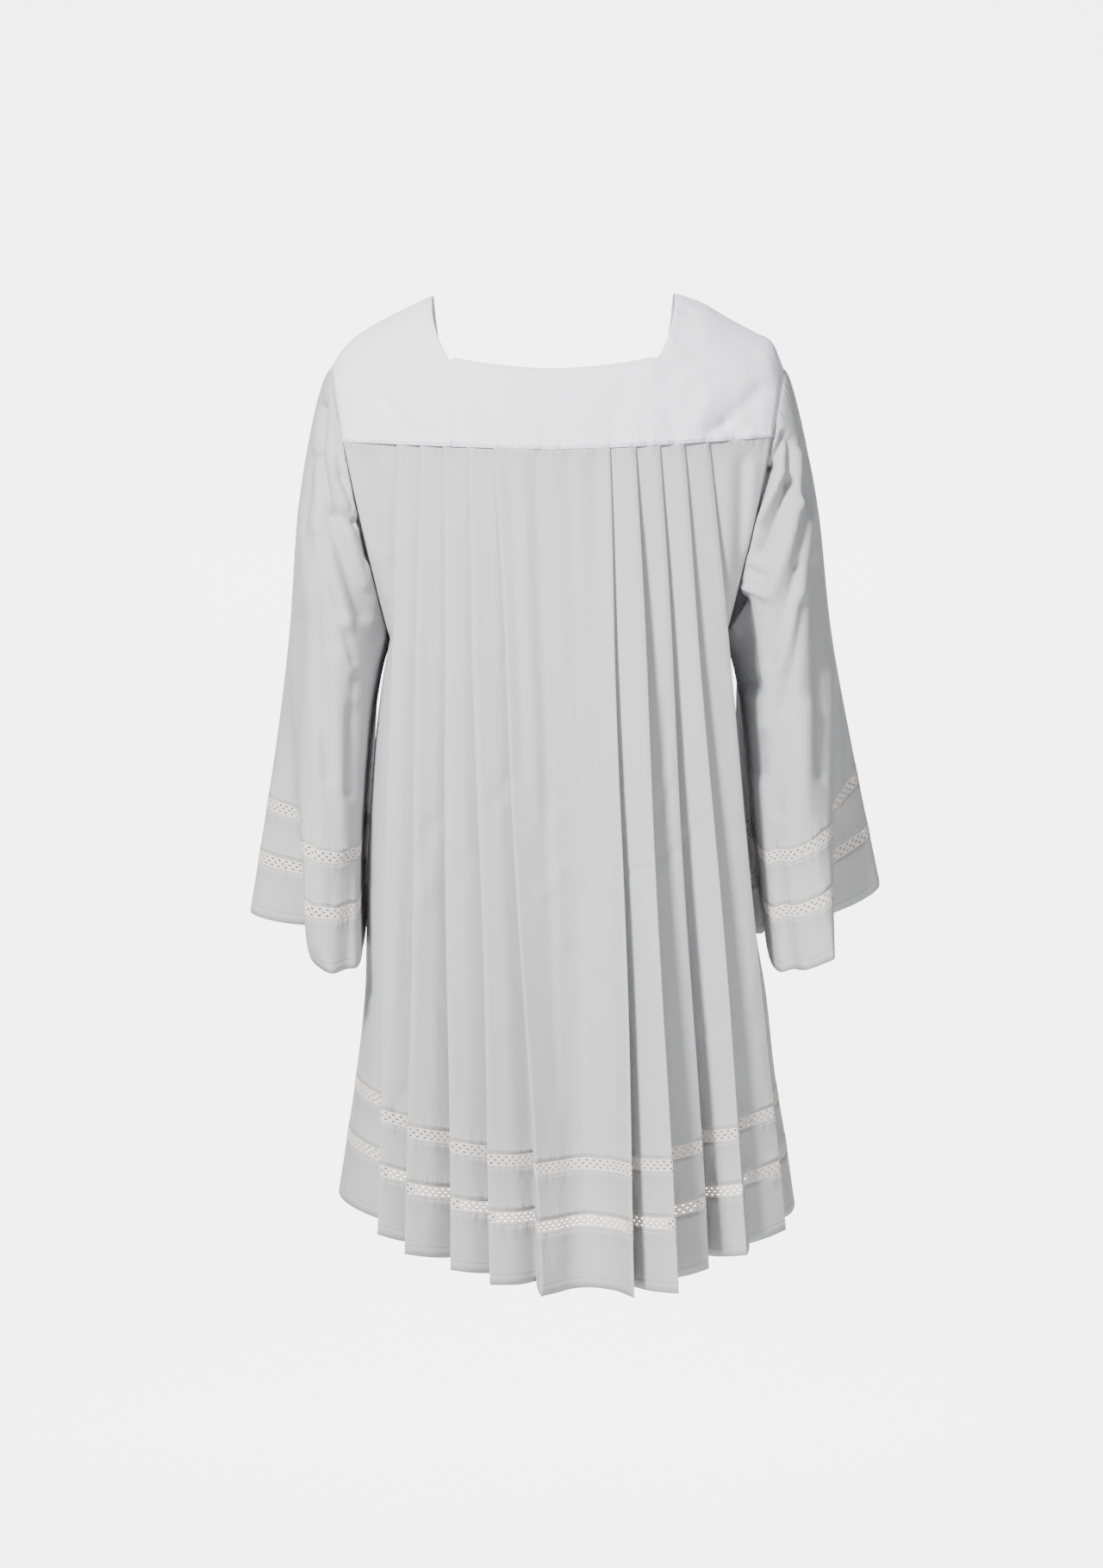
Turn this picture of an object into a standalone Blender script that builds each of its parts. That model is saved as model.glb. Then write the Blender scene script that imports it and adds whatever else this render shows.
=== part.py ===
"""Surplice with a square yoke, a knife-pleated skirt and wide sleeves.

The garment hangs in its worn form, hollow, with neck, hem and cuffs open. Metres, +Z up. The origin is the
middle of the shoulder line, where the yoke rests. The back of the garment faces -Y. Every piece is a wall of
cloth: a sheet of points along its middle, moved half a wall out and half a wall in.
"""

import math
from collections import namedtuple

import bmesh
import bpy
from mathutils import Vector

# Cloth
WALL = 0.0012
SEAM_GAP = 0.0003
LAYER = 0.0021  # from one layer of a flat pleat to the next

# Strips along the lower edges, from the edge up
Strip = namedtuple("Strip", "name skirt sleeve")
STRIPS = [
    Strip("hem", 0.063, 0.0575),
    Strip("lace_lower", 0.013, 0.013),
    Strip("band", 0.046, 0.047),
    Strip("lace_upper", 0.013, 0.013),
]

# Yoke: an oval at its lower seam, closed over the shoulders by a quarter of an ellipse
YOKE_SEAM_Z = -0.175
YOKE_HALF_WIDTH = 0.262
YOKE_DEPTH = {"back": 0.135, "front": 0.125}
YOKE_POWER = 2.4
NECK_TOP_X = 0.131
NECK_CORNER_X = 0.1094
NECK_CORNER_Z = {"back": -0.080, "front": -0.108}
NECK_SAG_DEG = {"back": 4.3, "front": 5.0}  # how much lower the edge lies in the middle, round the yoke
NECK_SLANT_POWER = 2.2
SEAM_RISE = {"left": 0.0090, "right": 0.0140}  # how much higher the seam is where it meets the armholes
SEAM_RISE_POWER = 1.5

# Heights of the shoulder lines, from the neck (0) to the armhole (1)
ShoulderPoint = namedtuple("ShoulderPoint", "across left right")
SHOULDER = [
    ShoulderPoint(0.00, -0.0070, -0.0040),
    ShoulderPoint(0.25, -0.0197, -0.0143),
    ShoulderPoint(0.50, -0.0338, -0.0314),
    ShoulderPoint(0.75, -0.0505, -0.0472),
    ShoulderPoint(0.90, -0.0670, -0.0575),
    ShoulderPoint(1.00, -0.0850, -0.0850),
]
STRAP_PLACES = [0.0, 0.20, 0.40, 0.60, 0.78, 0.91, 1.0]  # how far across a strap its lines of points lie
NECK_PARTS = 6
STRAP_ROWS = 3
YOKE_ROWS = 3

# Armhole: a leaning ellipse in each side
ARMHOLE_X = {"left": 0.210, "right": 0.2185}
ARMHOLE_Z = -0.230
ARMHOLE_LEAN = 0.032
ARMHOLE_HALF_HEIGHT = 0.145
ARMHOLE_HALF_DEPTH = 0.095
UNDERARM_Z = ARMHOLE_Z - ARMHOLE_HALF_HEIGHT

# Skirt
HEM_SIDE_Z = {"left": -0.995, "right": -1.007}
HEM_SIDE_X = {"left": -0.240, "right": 0.269}
HEM_DROP = {"back": 0.048, "front": 0.032}  # how much lower the hem hangs in the middle
HEM_DROP_POWER = 1.25
PLEAT_TUCK = 0.020
FACE_BULGE = 0.004
CORNER_POWER = 2.4
SIDE_PARTS = 5
ARMHOLE_LEVELS = [-0.210, -0.255, -0.300, -0.335, -0.360]
LOWER_LEVELS = [0.16, 0.37, 0.58, 0.79, 1.0]  # from the underarm to the upper lace

# Where the side seams run
SideSeam = namedtuple("SideSeam", "z left right")
SIDE_SEAM = [
    SideSeam(-0.375, -0.1780, 0.1865),
    SideSeam(-0.420, -0.1845, 0.1920),
    SideSeam(-0.500, -0.1945, 0.1990),
    SideSeam(-0.600, -0.2015, 0.2080),
    SideSeam(-0.700, -0.2045, 0.2195),
    SideSeam(-0.770, -0.2085, 0.2350),
    SideSeam(-0.860, -0.2185, 0.2455),
    SideSeam(-0.930, -0.2290, 0.2575),
    SideSeam(-1.020, -0.2435, 0.2710),
]

# One row for each knife pleat, from the left side to the right. The fold edge runs straight from yoke_x at the
# yoke to (edge_x, edge_out) at the hem. The root is the inner fold, where the next face starts. Out is the
# distance from the side seams' plane.
Pleat = namedtuple("Pleat", "yoke_x edge_x edge_out root_x root_out")
PLEATS = {
    "back": [
        Pleat(-0.165, -0.188, 0.160, -0.183, 0.093),
        Pleat(-0.140, -0.155, 0.203, -0.150, 0.150),
        Pleat(-0.116, -0.108, 0.220, -0.103, 0.163),
        Pleat(-0.090, -0.064, 0.245, -0.059, 0.196),
        Pleat(-0.0625, -0.013, 0.268, -0.019, 0.211),
        Pleat(0.059, 0.084, 0.278, 0.080, 0.228),
        Pleat(0.086, 0.127, 0.284, 0.122, 0.224),
        Pleat(0.1115, 0.162, 0.212, 0.157, 0.150),
        Pleat(0.1375, 0.205, 0.197, 0.211, 0.155),
        Pleat(0.164, 0.249, 0.134, 0.244, 0.085),
    ],
    "front": [
        Pleat(-0.166, -0.205, 0.150, -0.199, 0.100),
        Pleat(-0.141, -0.168, 0.190, -0.162, 0.143),
        Pleat(-0.115, -0.125, 0.215, -0.120, 0.168),
        Pleat(-0.088, -0.080, 0.232, -0.074, 0.184),
        Pleat(-0.060, -0.035, 0.240, -0.039, 0.192),
        Pleat(0.060, 0.062, 0.244, 0.058, 0.196),
        Pleat(0.087, 0.108, 0.238, 0.103, 0.188),
        Pleat(0.115, 0.152, 0.222, 0.147, 0.170),
        Pleat(0.142, 0.193, 0.194, 0.188, 0.146),
        Pleat(0.167, 0.230, 0.150, 0.225, 0.102),
    ],
}
LEFT_PLEATS = 5

# The plain panel between the pleats: how far across it, and how far out it hangs at the hem
PanelPoint = namedtuple("PanelPoint", "across hem_out")
CENTRE_PANEL = {
    "back": [
        PanelPoint(0.17, 0.250),
        PanelPoint(0.33, 0.233),
        PanelPoint(0.50, 0.228),
        PanelPoint(0.67, 0.234),
        PanelPoint(0.84, 0.249),
    ],
    "front": [
        PanelPoint(0.25, 0.222),
        PanelPoint(0.50, 0.214),
        PanelPoint(0.75, 0.225),
    ],
}

# Sleeves: a row for each section, from the armhole to the hem. The outer and inner points are where the
# section meets the side plane, back and front are its depths, and the powers square or sharpen each half.
Section = namedtuple("Section", "along outer_x outer_z inner_x inner_z back front outer_power inner_power")
SLEEVES = {
    "left": [
        Section(0.00, 0.242, -0.085, 0.178, -0.375, 0.095, 0.095, 2.0, 2.0),
        Section(0.15, 0.260, -0.135, 0.186, -0.405, 0.104, 0.100, 2.0, 2.1),
        Section(0.35, 0.278, -0.235, 0.197, -0.470, 0.112, 0.106, 1.9, 2.4),
        Section(0.60, 0.290, -0.375, 0.206, -0.560, 0.120, 0.112, 1.7, 2.8),
        Section(0.80, 0.307, -0.505, 0.209, -0.635, 0.128, 0.118, 1.6, 3.2),
        Section(1.00, 0.336, -0.681, 0.208, -0.698, 0.138, 0.126, 1.5, 3.6),
    ],
    "right": [
        Section(0.00, 0.2505, -0.085, 0.1865, -0.375, 0.095, 0.095, 2.0, 2.0),
        Section(0.15, 0.268, -0.135, 0.197, -0.405, 0.104, 0.100, 2.0, 2.1),
        Section(0.35, 0.289, -0.235, 0.208, -0.470, 0.112, 0.106, 1.9, 2.4),
        Section(0.60, 0.306, -0.375, 0.217, -0.560, 0.119, 0.112, 1.7, 2.8),
        Section(0.80, 0.330, -0.500, 0.226, -0.638, 0.126, 0.118, 1.5, 3.2),
        Section(1.00, 0.362, -0.650, 0.235, -0.705, 0.136, 0.126, 1.4, 3.6),
    ],
}
SLEEVE_DROP = {"back": 0.040, "front": 0.024}  # how much lower the sleeve hem hangs away from the outer line
SLEEVE_DROP_POWER = {"left": 1.5, "right": 0.9, "inner": 0.8}  # of each outer half, and of both inner halves
SLEEVE_START = 0.0010  # how far the first ring stands out from the armhole, at the shoulder
SLEEVE_START_MORE = 0.0008  # and how much further at the underarm, where the walls lie side by side
SLEEVE_LEAN = {
    "left": {"back": 0.007, "front": 0.007},
    "right": {"back": 0.000, "front": 0.011},
}  # how far the inner wall leans over the side of the skirt, away from the side plane
LEAN_ALONG = (0.20, 0.55)  # where the lean starts and where it is full
LEAN_DEPTH = (0.35, 0.95)

# Troughs down the sleeves, which deepen from start to the hem. Angles run from the outer line (0) round the
# back (90) to the inner line (180). Tuck draws a trough towards the body, behind the cloth beside it.
Trough = namedtuple("Trough", "start top_deg hem_deg top_half_deg hem_half_deg depth tuck")
TROUGHS = {
    "left": [
        Trough(0.60, 26, 60, 22, 50, 0.075, 0.034),
        Trough(0.10, 125, 122, 18, 18, 0.008, 0.000),
        Trough(0.45, -45, -52, 20, 34, 0.034, 0.006),
        Trough(0.20, -120, -112, 22, 22, 0.010, 0.000),
    ],
    "right": [
        Trough(0.60, 25, 49, 20, 40, 0.062, 0.020),
        Trough(0.10, 122, 118, 18, 18, 0.009, 0.000),
        Trough(0.45, -48, -50, 20, 34, 0.036, 0.008),
        Trough(0.20, -122, -115, 22, 22, 0.010, 0.000),
    ],
}
SLEEVE_SIDES = 32
SLEEVE_LEVELS = [0.0, 0.07, 0.17, 0.30, 0.44, 0.58, 0.72, 0.86, 1.0]
LENGTH_STEPS = 60

CLOTH_COLOURS = {
    "yoke": (0.74, 0.73, 0.76, 1.0),
    "cloth": (0.66, 0.66, 0.67, 1.0),
    "lace": (0.72, 0.71, 0.67, 1.0),
}
CLOTH_ROUGHNESS = 0.85


def blend(a, b, part):
    return a + (b - a) * part


def ease(part):
    part = min(max(part, 0.0), 1.0)
    return part * part * (3.0 - 2.0 * part)


def read_table(rows, key, at):
    """The whole row at one value of its key column, on smooth curves through the rows."""
    keys = [getattr(row, key) for row in rows]
    last = len(rows) - 1
    falling = keys[0] > keys[-1]
    i = 0
    while i < last - 1 and (at < keys[i + 1] if falling else at > keys[i + 1]):
        i += 1
    step = keys[i + 1] - keys[i]
    part = min(max((at - keys[i]) / step, 0.0), 1.0)
    values = []
    for column in range(len(rows[0])):
        here = rows[i][column]
        there = rows[i + 1][column]
        slope_here = (there - here) / step
        slope_there = slope_here
        if i > 0:
            slope_here = (there - rows[i - 1][column]) / (keys[i + 1] - keys[i - 1])
        if i + 1 < last:
            slope_there = (rows[i + 2][column] - here) / (keys[i + 2] - keys[i])
        a = part * part * (3.0 - 2.0 * part)
        b = part * (1.0 - part) ** 2
        c = part * part * (part - 1.0)
        values.append(blend(here, there, a) + step * (b * slope_here + c * slope_there))
    return type(rows[0])(*values)


def side_of(x):
    return "left" if x < 0.0 else "right"


def armhole_point(side, angle):
    """An armhole as (distance from the middle, out, z). The angle is 0 at the shoulder."""
    x = ARMHOLE_X[side] + ARMHOLE_LEAN * math.cos(angle)
    z = ARMHOLE_Z + ARMHOLE_HALF_HEIGHT * math.cos(angle)
    return (x, ARMHOLE_HALF_DEPTH * math.sin(angle), z)


def armhole_angle(z):
    return math.acos(min(max((z - ARMHOLE_Z) / ARMHOLE_HALF_HEIGHT, -1.0), 1.0))


def seam_end(side):
    """Where the yoke seam meets the armhole."""
    return armhole_point(side, armhole_angle(YOKE_SEAM_Z + SEAM_RISE[side]))


def seam_z(x):
    """Height of the yoke seam, which runs a little higher towards the sides."""
    side = side_of(x)
    return YOKE_SEAM_Z + SEAM_RISE[side] * min(abs(x) / seam_end(side)[0], 1.0) ** SEAM_RISE_POWER


def oval_out(x, half):
    """How far out the oval at the yoke seam stands at x."""
    part = min(abs(x) / YOKE_HALF_WIDTH, 1.0)
    return YOKE_DEPTH[half] * (1.0 - part**YOKE_POWER) ** (1.0 / YOKE_POWER)


def seam_out(x, half):
    """The yoke seam itself: the oval, drawn to the armhole at its ends."""
    end = seam_end(side_of(x))
    part = max((abs(x) - NECK_CORNER_X) / (end[0] - NECK_CORNER_X), 0.0)
    return oval_out(x, half) + part**3 * (end[1] - oval_out(end[0], half))


def face_half(point, half):
    """A point as (x, y, z): out is -Y on the back and +Y on the front."""
    x, out, z = point
    return Vector((x, -out if half == "back" else out, z))


def cell_grid(rows, around):
    """Every cell of a sheet of points, as (row, column, next column)."""
    columns = len(rows[0])
    cells = []
    for r in range(len(rows) - 1):
        for c in range(columns if around else columns - 1):
            cells.append((r, c, (c + 1) % columns))
    return cells


def moved_out(rows, cells, distance):
    """The sheet moved along its own normals."""
    normals = [[Vector((0.0, 0.0, 0.0)) for _ in row] for row in rows]
    for r, c, d in cells:
        across = rows[r][d] + rows[r + 1][d] - rows[r][c] - rows[r + 1][c]
        down = rows[r + 1][c] + rows[r + 1][d] - rows[r][c] - rows[r][d]
        normal = across.cross(down).normalized()
        for i, j in ((r, c), (r, d), (r + 1, c), (r + 1, d)):
            normals[i][j] += normal
    moved = []
    for row, row_normals in zip(rows, normals):
        moved.append([p + n.normalized() * distance for p, n in zip(row, row_normals)])
    return moved


def cloth_material(kind):
    material = bpy.data.materials.new("surplice_" + kind)
    material.use_nodes = True
    shader = material.node_tree.nodes["Principled BSDF"]
    shader.inputs["Base Color"].default_value = CLOTH_COLOURS[kind]
    shader.inputs["Roughness"].default_value = CLOTH_ROUGHNESS
    shader.inputs["Metallic"].default_value = 0.0
    material.diffuse_color = CLOTH_COLOURS[kind]
    return material


def cloth_wall(name, outer, inner, cells, kind):
    """One piece of cloth between an outer and an inner sheet, closed round every free edge."""
    work = bmesh.new()
    corners = {}

    def corner(side, r, c):
        if (side, r, c) not in corners:
            sheet = outer if side == "outer" else inner
            corners[side, r, c] = work.verts.new(sheet[r][c])
        return corners[side, r, c]

    edges = {}
    for r, c, d in cells:
        ring = [(r, c), (r + 1, c), (r + 1, d), (r, d)]
        for a, b, e in ((0, 1, 2), (0, 2, 3)):
            work.faces.new([corner("outer", *ring[i]) for i in (a, b, e)])
            work.faces.new([corner("inner", *ring[i]) for i in (e, b, a)])
        for i in range(4):
            edge = (ring[i], ring[(i + 1) % 4])
            if edge[::-1] in edges:
                del edges[edge[::-1]]
            else:
                edges[edge] = True
    for start, end in edges:
        low = [corner("outer", *start), corner("inner", *start)]
        high = [corner("outer", *end), corner("inner", *end)]
        work.faces.new([high[0], low[0], low[1]])
        work.faces.new([high[0], low[1], high[1]])
    if work.calc_volume(signed=True) < 0.0:
        bmesh.ops.reverse_faces(work, faces=work.faces)
    mesh = bpy.data.meshes.new(name)
    work.to_mesh(mesh)
    work.free()
    mesh.materials.append(cloth_material(kind))
    piece = bpy.data.objects.new(name, mesh)
    bpy.context.scene.collection.objects.link(piece)
    return piece


def strap_edge_x(z, half):
    """The slanting side of the square neckline."""
    part = min(max(z / NECK_CORNER_Z[half], 0.0), 1.0)
    return NECK_TOP_X - (NECK_TOP_X - NECK_CORNER_X) * part**NECK_SLANT_POWER


def yoke_point(half, side, across, turn):
    """A point of one side of the yoke: across 0 at the neck and 1 at the armhole, turn 0 to 90 degrees."""
    sign = -1.0 if side == "left" else 1.0
    top_z = getattr(read_table(SHOULDER, "across", across), side)
    end_angle = armhole_angle(seam_end(side)[2])
    end = Vector(armhole_point(side, end_angle * turn / math.radians(90)))
    rise = math.cos(turn)
    x = blend(strap_edge_x(YOKE_SEAM_Z * (1.0 - rise), half), end.x, across)
    low_z = seam_z(sign * x)
    out = oval_out(x, half) * math.sin(turn)
    plain_end = Vector((end.x, oval_out(end.x, half) * math.sin(turn),
                        blend(seam_end(side)[2], getattr(SHOULDER[-1], side), rise)))
    point = Vector((x, out, blend(low_z, top_z, rise))) + (end - plain_end) * across**3
    return Vector((sign * point.x, point.y, point.z))


def build_yoke(half):
    """The yoke from the shoulder line to its seam, in one piece round the square neckline."""
    quarter = math.radians(90)
    corner_turn = math.acos(1.0 - NECK_CORNER_Z[half] / YOKE_SEAM_Z)
    shoulder_turn = math.asin(SEAM_GAP / 2 / YOKE_DEPTH[half])
    seam_turn = quarter - SEAM_GAP / 2 / abs(YOKE_SEAM_Z)
    middle = [NECK_CORNER_X * (2.0 * i / NECK_PARTS - 1.0) for i in range(1, NECK_PARTS)]
    rows = []
    for r in range(STRAP_ROWS + YOKE_ROWS + 1):
        row = []
        lower_part = (r - STRAP_ROWS) / YOKE_ROWS
        strap_turn = blend(shoulder_turn, corner_turn, min(r / STRAP_ROWS, 1.0))
        if r > STRAP_ROWS:
            strap_turn = blend(corner_turn, seam_turn, lower_part)
        row += [face_half(yoke_point(half, "left", p, strap_turn), half) for p in reversed(STRAP_PLACES)]
        for x in middle:
            sag = math.radians(NECK_SAG_DEG[half]) * (1.0 - (x / NECK_CORNER_X) ** 2)
            turn = blend(corner_turn + sag, seam_turn, max(lower_part, 0.0))
            out = oval_out(x, half) * math.sin(turn)
            row.append(face_half((x, out, seam_z(x) * (1.0 - math.cos(turn))), half))
        row += [face_half(yoke_point(half, "right", p, strap_turn), half) for p in STRAP_PLACES]
        rows.append(row)
    neck_start = len(STRAP_PLACES) - 1
    neck = range(neck_start, neck_start + NECK_PARTS)
    cells = [cell for cell in cell_grid(rows, False) if cell[0] >= STRAP_ROWS or cell[1] not in neck]
    outer = moved_out(rows, cells, WALL / 2)
    inner = moved_out(rows, cells, -WALL / 2)
    for moved in (outer, inner):
        for c, point in enumerate(moved[0]):
            point.y = rows[0][c].y
        for c, point in enumerate(moved[-1]):
            point.z = rows[-1][c].z
    cloth_wall("yoke_" + half, outer, inner, cells, "yoke")


def hem_z(x, half):
    """Height of the skirt's hem below a point of it."""
    part = (x - HEM_SIDE_X["left"]) / (HEM_SIDE_X["right"] - HEM_SIDE_X["left"])
    sides = blend(HEM_SIDE_Z["left"], HEM_SIDE_Z["right"], part)
    return sides - HEM_DROP[half] * max(4.0 * part * (1.0 - part), 0.0) ** HEM_DROP_POWER


def softened(corners):
    """Each fold of a line of corners as two points, one layer apart, so that it has a rounded edge."""
    points = []
    for before, here, after in zip(corners, corners[1:], corners[2:]):
        along = (here - before).normalized() + (after - here).normalized()
        along = along.normalized() * LAYER / 2
        points.append((here - along, here + along))
    return points


def pleat_columns(half):
    """The folds and faces of a panel as (point at the yoke, point at the hem), from left to right."""
    pleats = PLEATS[half]
    centre = len(pleats) - LEFT_PLEATS
    hem_line = [Vector((HEM_SIDE_X["left"], 0.0))]
    yoke_folds = []
    for i, pleat in enumerate(pleats):
        edge = Vector((pleat.edge_x, pleat.edge_out))
        root = Vector((pleat.root_x, pleat.root_out))
        left = i < LEFT_PLEATS
        inward = 1.0 if left else -1.0
        if i in (0, len(pleats) - 1):
            spacing = abs(pleats[1].yoke_x - pleats[0].yoke_x)
        else:
            spacing = abs(pleat.yoke_x - pleats[i - 1 if left else i + 1].yoke_x)
        sunk = 2.0 * LAYER / spacing * PLEAT_TUCK
        edge_x = pleat.yoke_x
        root_x = pleat.yoke_x + inward * PLEAT_TUCK
        edge_out = seam_out(edge_x, half)
        root_out = seam_out(root_x, half) - sunk
        edge_fold = [Vector((edge_x, edge_out)), Vector((edge_x, edge_out - LAYER))]
        root_fold = [Vector((root_x, root_out - LAYER)), Vector((root_x, root_out - 2.0 * LAYER))]
        if left:
            hem_line += [root, edge]
            yoke_folds += [root_fold[::-1], edge_fold[::-1]]
        else:
            hem_line += [edge, root]
            yoke_folds += [edge_fold, root_fold]
    hem_line.append(Vector((HEM_SIDE_X["right"], 0.0)))
    hem_folds = softened(hem_line)
    columns = []
    for i, (yoke_fold, hem_fold) in enumerate(zip(yoke_folds, hem_folds)):
        columns += list(zip(yoke_fold, hem_fold))
        last_fold = i == len(yoke_folds) - 1
        from_face = i % 2 == 1
        if last_fold or not from_face:
            continue
        start = (yoke_fold[1], hem_fold[1])
        end = (yoke_folds[i + 1][0], hem_folds[i + 1][0])
        if i == 2 * centre - 1:
            for point in CENTRE_PANEL[half]:
                x = blend(start[0].x, end[0].x, point.across)
                at_yoke = Vector((x, seam_out(x, half)))
                at_hem = Vector((blend(start[1].x, end[1].x, point.across), point.hem_out))
                columns.append((at_yoke, at_hem))
        elif half == "back":
            across = (end[1] - start[1]).normalized()
            bulge = Vector((-across.y, across.x)) * FACE_BULGE
            columns.append((start[0].lerp(end[0], 0.5), start[1].lerp(end[1], 0.5) + bulge))
    return columns


def column_point(column, half, height):
    """A point of one straight pleat line, at the height that a rule gives for its places at yoke and hem."""
    at_yoke, at_hem = column
    z = height(at_yoke.x, at_hem.x, half)
    top = seam_z(at_yoke.x)
    part = (top - z) / (top - hem_z(at_hem.x, half))
    x, out = at_yoke.lerp(at_hem, part)
    return (x, out, z)


def side_edge(side, half, height):
    """The free side of a skirt panel: the armhole above the underarm, the side seam below it."""
    sign = -1.0 if side == "left" else 1.0
    z = height(sign * seam_end(side)[0], HEM_SIDE_X[side], half)
    if z > UNDERARM_Z + SEAM_GAP:
        x, out, _ = armhole_point(side, armhole_angle(z))
        return (sign * x, max(out, SEAM_GAP / 2), z)
    return (getattr(read_table(SIDE_SEAM, "z", z), side), SEAM_GAP / 2, z)


def side_points(side, column, half, height):
    """The plain cloth from the last fold round to the side edge, without its first point."""
    at_yoke, at_hem = column
    start = column_point(column, half, height)
    end = side_edge(side, half, height)
    near_yoke = ease((end[2] - UNDERARM_Z) / (YOKE_SEAM_Z - UNDERARM_Z))
    points = []
    for i in range(1, SIDE_PARTS + 1):
        part = i / SIDE_PARTS
        turn = math.radians(90) * part
        across = math.sin(turn) ** (2.0 / CORNER_POWER)
        round_x = blend(start[0], end[0], across)
        round_out = blend(start[1], end[1], 1.0 - max(math.cos(turn), 0.0) ** (2.0 / CORNER_POWER))
        yoke_x = blend(start[0], end[0], part)
        miss = blend(start[1] - seam_out(start[0], half), end[1] - seam_out(end[0], half), part)
        yoke_out = seam_out(yoke_x, half) + miss
        x = blend(round_x, yoke_x, near_yoke)
        out = blend(round_out, yoke_out, near_yoke)
        z = height(blend(at_yoke.x, end[0], part), blend(at_hem.x, HEM_SIDE_X[side], across), half)
        points.append((x, out, z))
    return points


def panel_line(half, height):
    """The middle of a skirt panel at one level, from its left edge to its right edge."""
    columns = pleat_columns(half)
    folds = [column_point(column, half, height) for column in columns]
    left = side_points("left", columns[0], half, height)
    right = side_points("right", columns[-1], half, height)
    return left[::-1] + folds + right


def moved_line(line, distance):
    """A line of (x, out, z) moved out sideways, square to it, with its corners kept."""
    flat = [Vector((x, out)) for x, out, _ in line]
    normals = []
    for a, b in zip(flat, flat[1:]):
        along = (b - a).normalized()
        normals.append(Vector((-along.y, along.x)))
    moved = []
    for i, point in enumerate(flat):
        before = normals[max(i - 1, 0)]
        after = normals[min(i, len(normals) - 1)]
        spread = max(1.0 + before.dot(after), 0.5)
        place = point + (before + after) / spread * distance
        moved.append((place.x, place.y, line[i][2]))
    return moved


def build_skirt_strip(name, half, heights, kind):
    """One strip of a skirt panel, from rules for the height of each of its rows."""
    outer = []
    inner = []
    for height in heights:
        line = panel_line(half, height)
        outer.append([face_half(p, half) for p in moved_line(line, WALL / 2)])
        inner.append([face_half(p, half) for p in moved_line(line, -WALL / 2)])
    cloth_wall(name, outer, inner, cell_grid(outer, False), kind)


def build_skirt(half):
    name = "skirt_" + half
    trimmed = sum(strip.skirt for strip in STRIPS)

    def above_hem(distance):
        return lambda yoke_x, hem_x, half: hem_z(hem_x, half) + distance

    def at_level(z):
        return lambda yoke_x, hem_x, half: z

    def below_underarm(part):
        return lambda yoke_x, hem_x, half: blend(UNDERARM_Z, hem_z(hem_x, half) + trimmed + SEAM_GAP / 2, part)

    heights = [lambda yoke_x, hem_x, half: seam_z(yoke_x) - SEAM_GAP / 2]
    heights += [at_level(z) for z in ARMHOLE_LEVELS]
    heights += [at_level(UNDERARM_Z)]
    heights += [below_underarm(part) for part in LOWER_LEVELS]
    build_skirt_strip(name, half, heights, "cloth")
    low = 0.0
    for strip in STRIPS:
        high = low + strip.skirt
        bottom = above_hem(low + SEAM_GAP / 2 if low else 0.0)
        top = above_hem(high - SEAM_GAP / 2)
        kind = "lace" if "lace" in strip.name else "cloth"
        build_skirt_strip(name + "_" + strip.name, half, [top, bottom], kind)
        low = high


def trough_pull(side, along, angle):
    """How far the troughs draw a point of a sleeve towards its middle, and towards the body."""
    depth = 0.0
    tuck = 0.0
    for trough in TROUGHS[side]:
        part = max((along - trough.start) / (1.0 - trough.start), 0.0)
        middle = math.radians(blend(trough.top_deg, trough.hem_deg, part))
        half_width = math.radians(blend(trough.top_half_deg, trough.hem_half_deg, part))
        away = math.remainder(angle - middle, 2.0 * math.pi) / half_width
        if abs(away) < 1.0:
            pull = part**2 * math.cos(away * math.pi / 2) ** 2
            depth += trough.depth * pull
            tuck += trough.tuck * pull
    return depth, tuck


def sleeve_point(side, along, angle):
    """A point of a sleeve's middle surface. The angle is 0 on the outer line and 90 degrees at the back."""
    row = read_table(SLEEVES[side], "along", along)
    outward = math.cos(angle)
    backward = math.sin(angle)
    power = row.outer_power if outward > 0.0 else row.inner_power
    reach = math.copysign(abs(outward) ** (2.0 / power), outward)
    depth = math.copysign(abs(backward) ** (2.0 / power), backward)
    half_depth = row.back if depth > 0.0 else row.front
    half_width = (row.outer_x - row.inner_x) / 2
    arm = Vector((half_width * reach, -half_depth * depth))
    pull, tuck = trough_pull(side, along, angle)
    arm -= arm.normalized() * pull
    x = row.outer_x - half_width + arm.x - tuck
    drop = SLEEVE_DROP["back" if depth > 0.0 else "front"] * along
    drop *= (abs(arm.y) / half_depth) ** SLEEVE_DROP_POWER[side if outward > 0.0 else "inner"]
    z = blend(row.outer_z, row.inner_z, (row.outer_x - x) / (2.0 * half_width)) - drop
    armhole_normal = Vector((ARMHOLE_HALF_HEIGHT, 0.0, -ARMHOLE_LEAN)).normalized()
    start = SLEEVE_START + SLEEVE_START_MORE * abs(math.sin(angle / 2))
    lean = SLEEVE_LEAN[side]["back" if depth > 0.0 else "front"] * min(max(-2.0 * outward, 0.0), 1.0)
    lean *= ease((along - LEAN_ALONG[0]) / (LEAN_ALONG[1] - LEAN_ALONG[0]))
    lean *= ease((abs(arm.y) / half_depth - LEAN_DEPTH[0]) / (LEAN_DEPTH[1] - LEAN_DEPTH[0]))
    point = Vector((x - lean, arm.y, z)) + armhole_normal * start * (1.0 - along)
    if side == "left":
        point.x = -point.x
    return point


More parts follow.
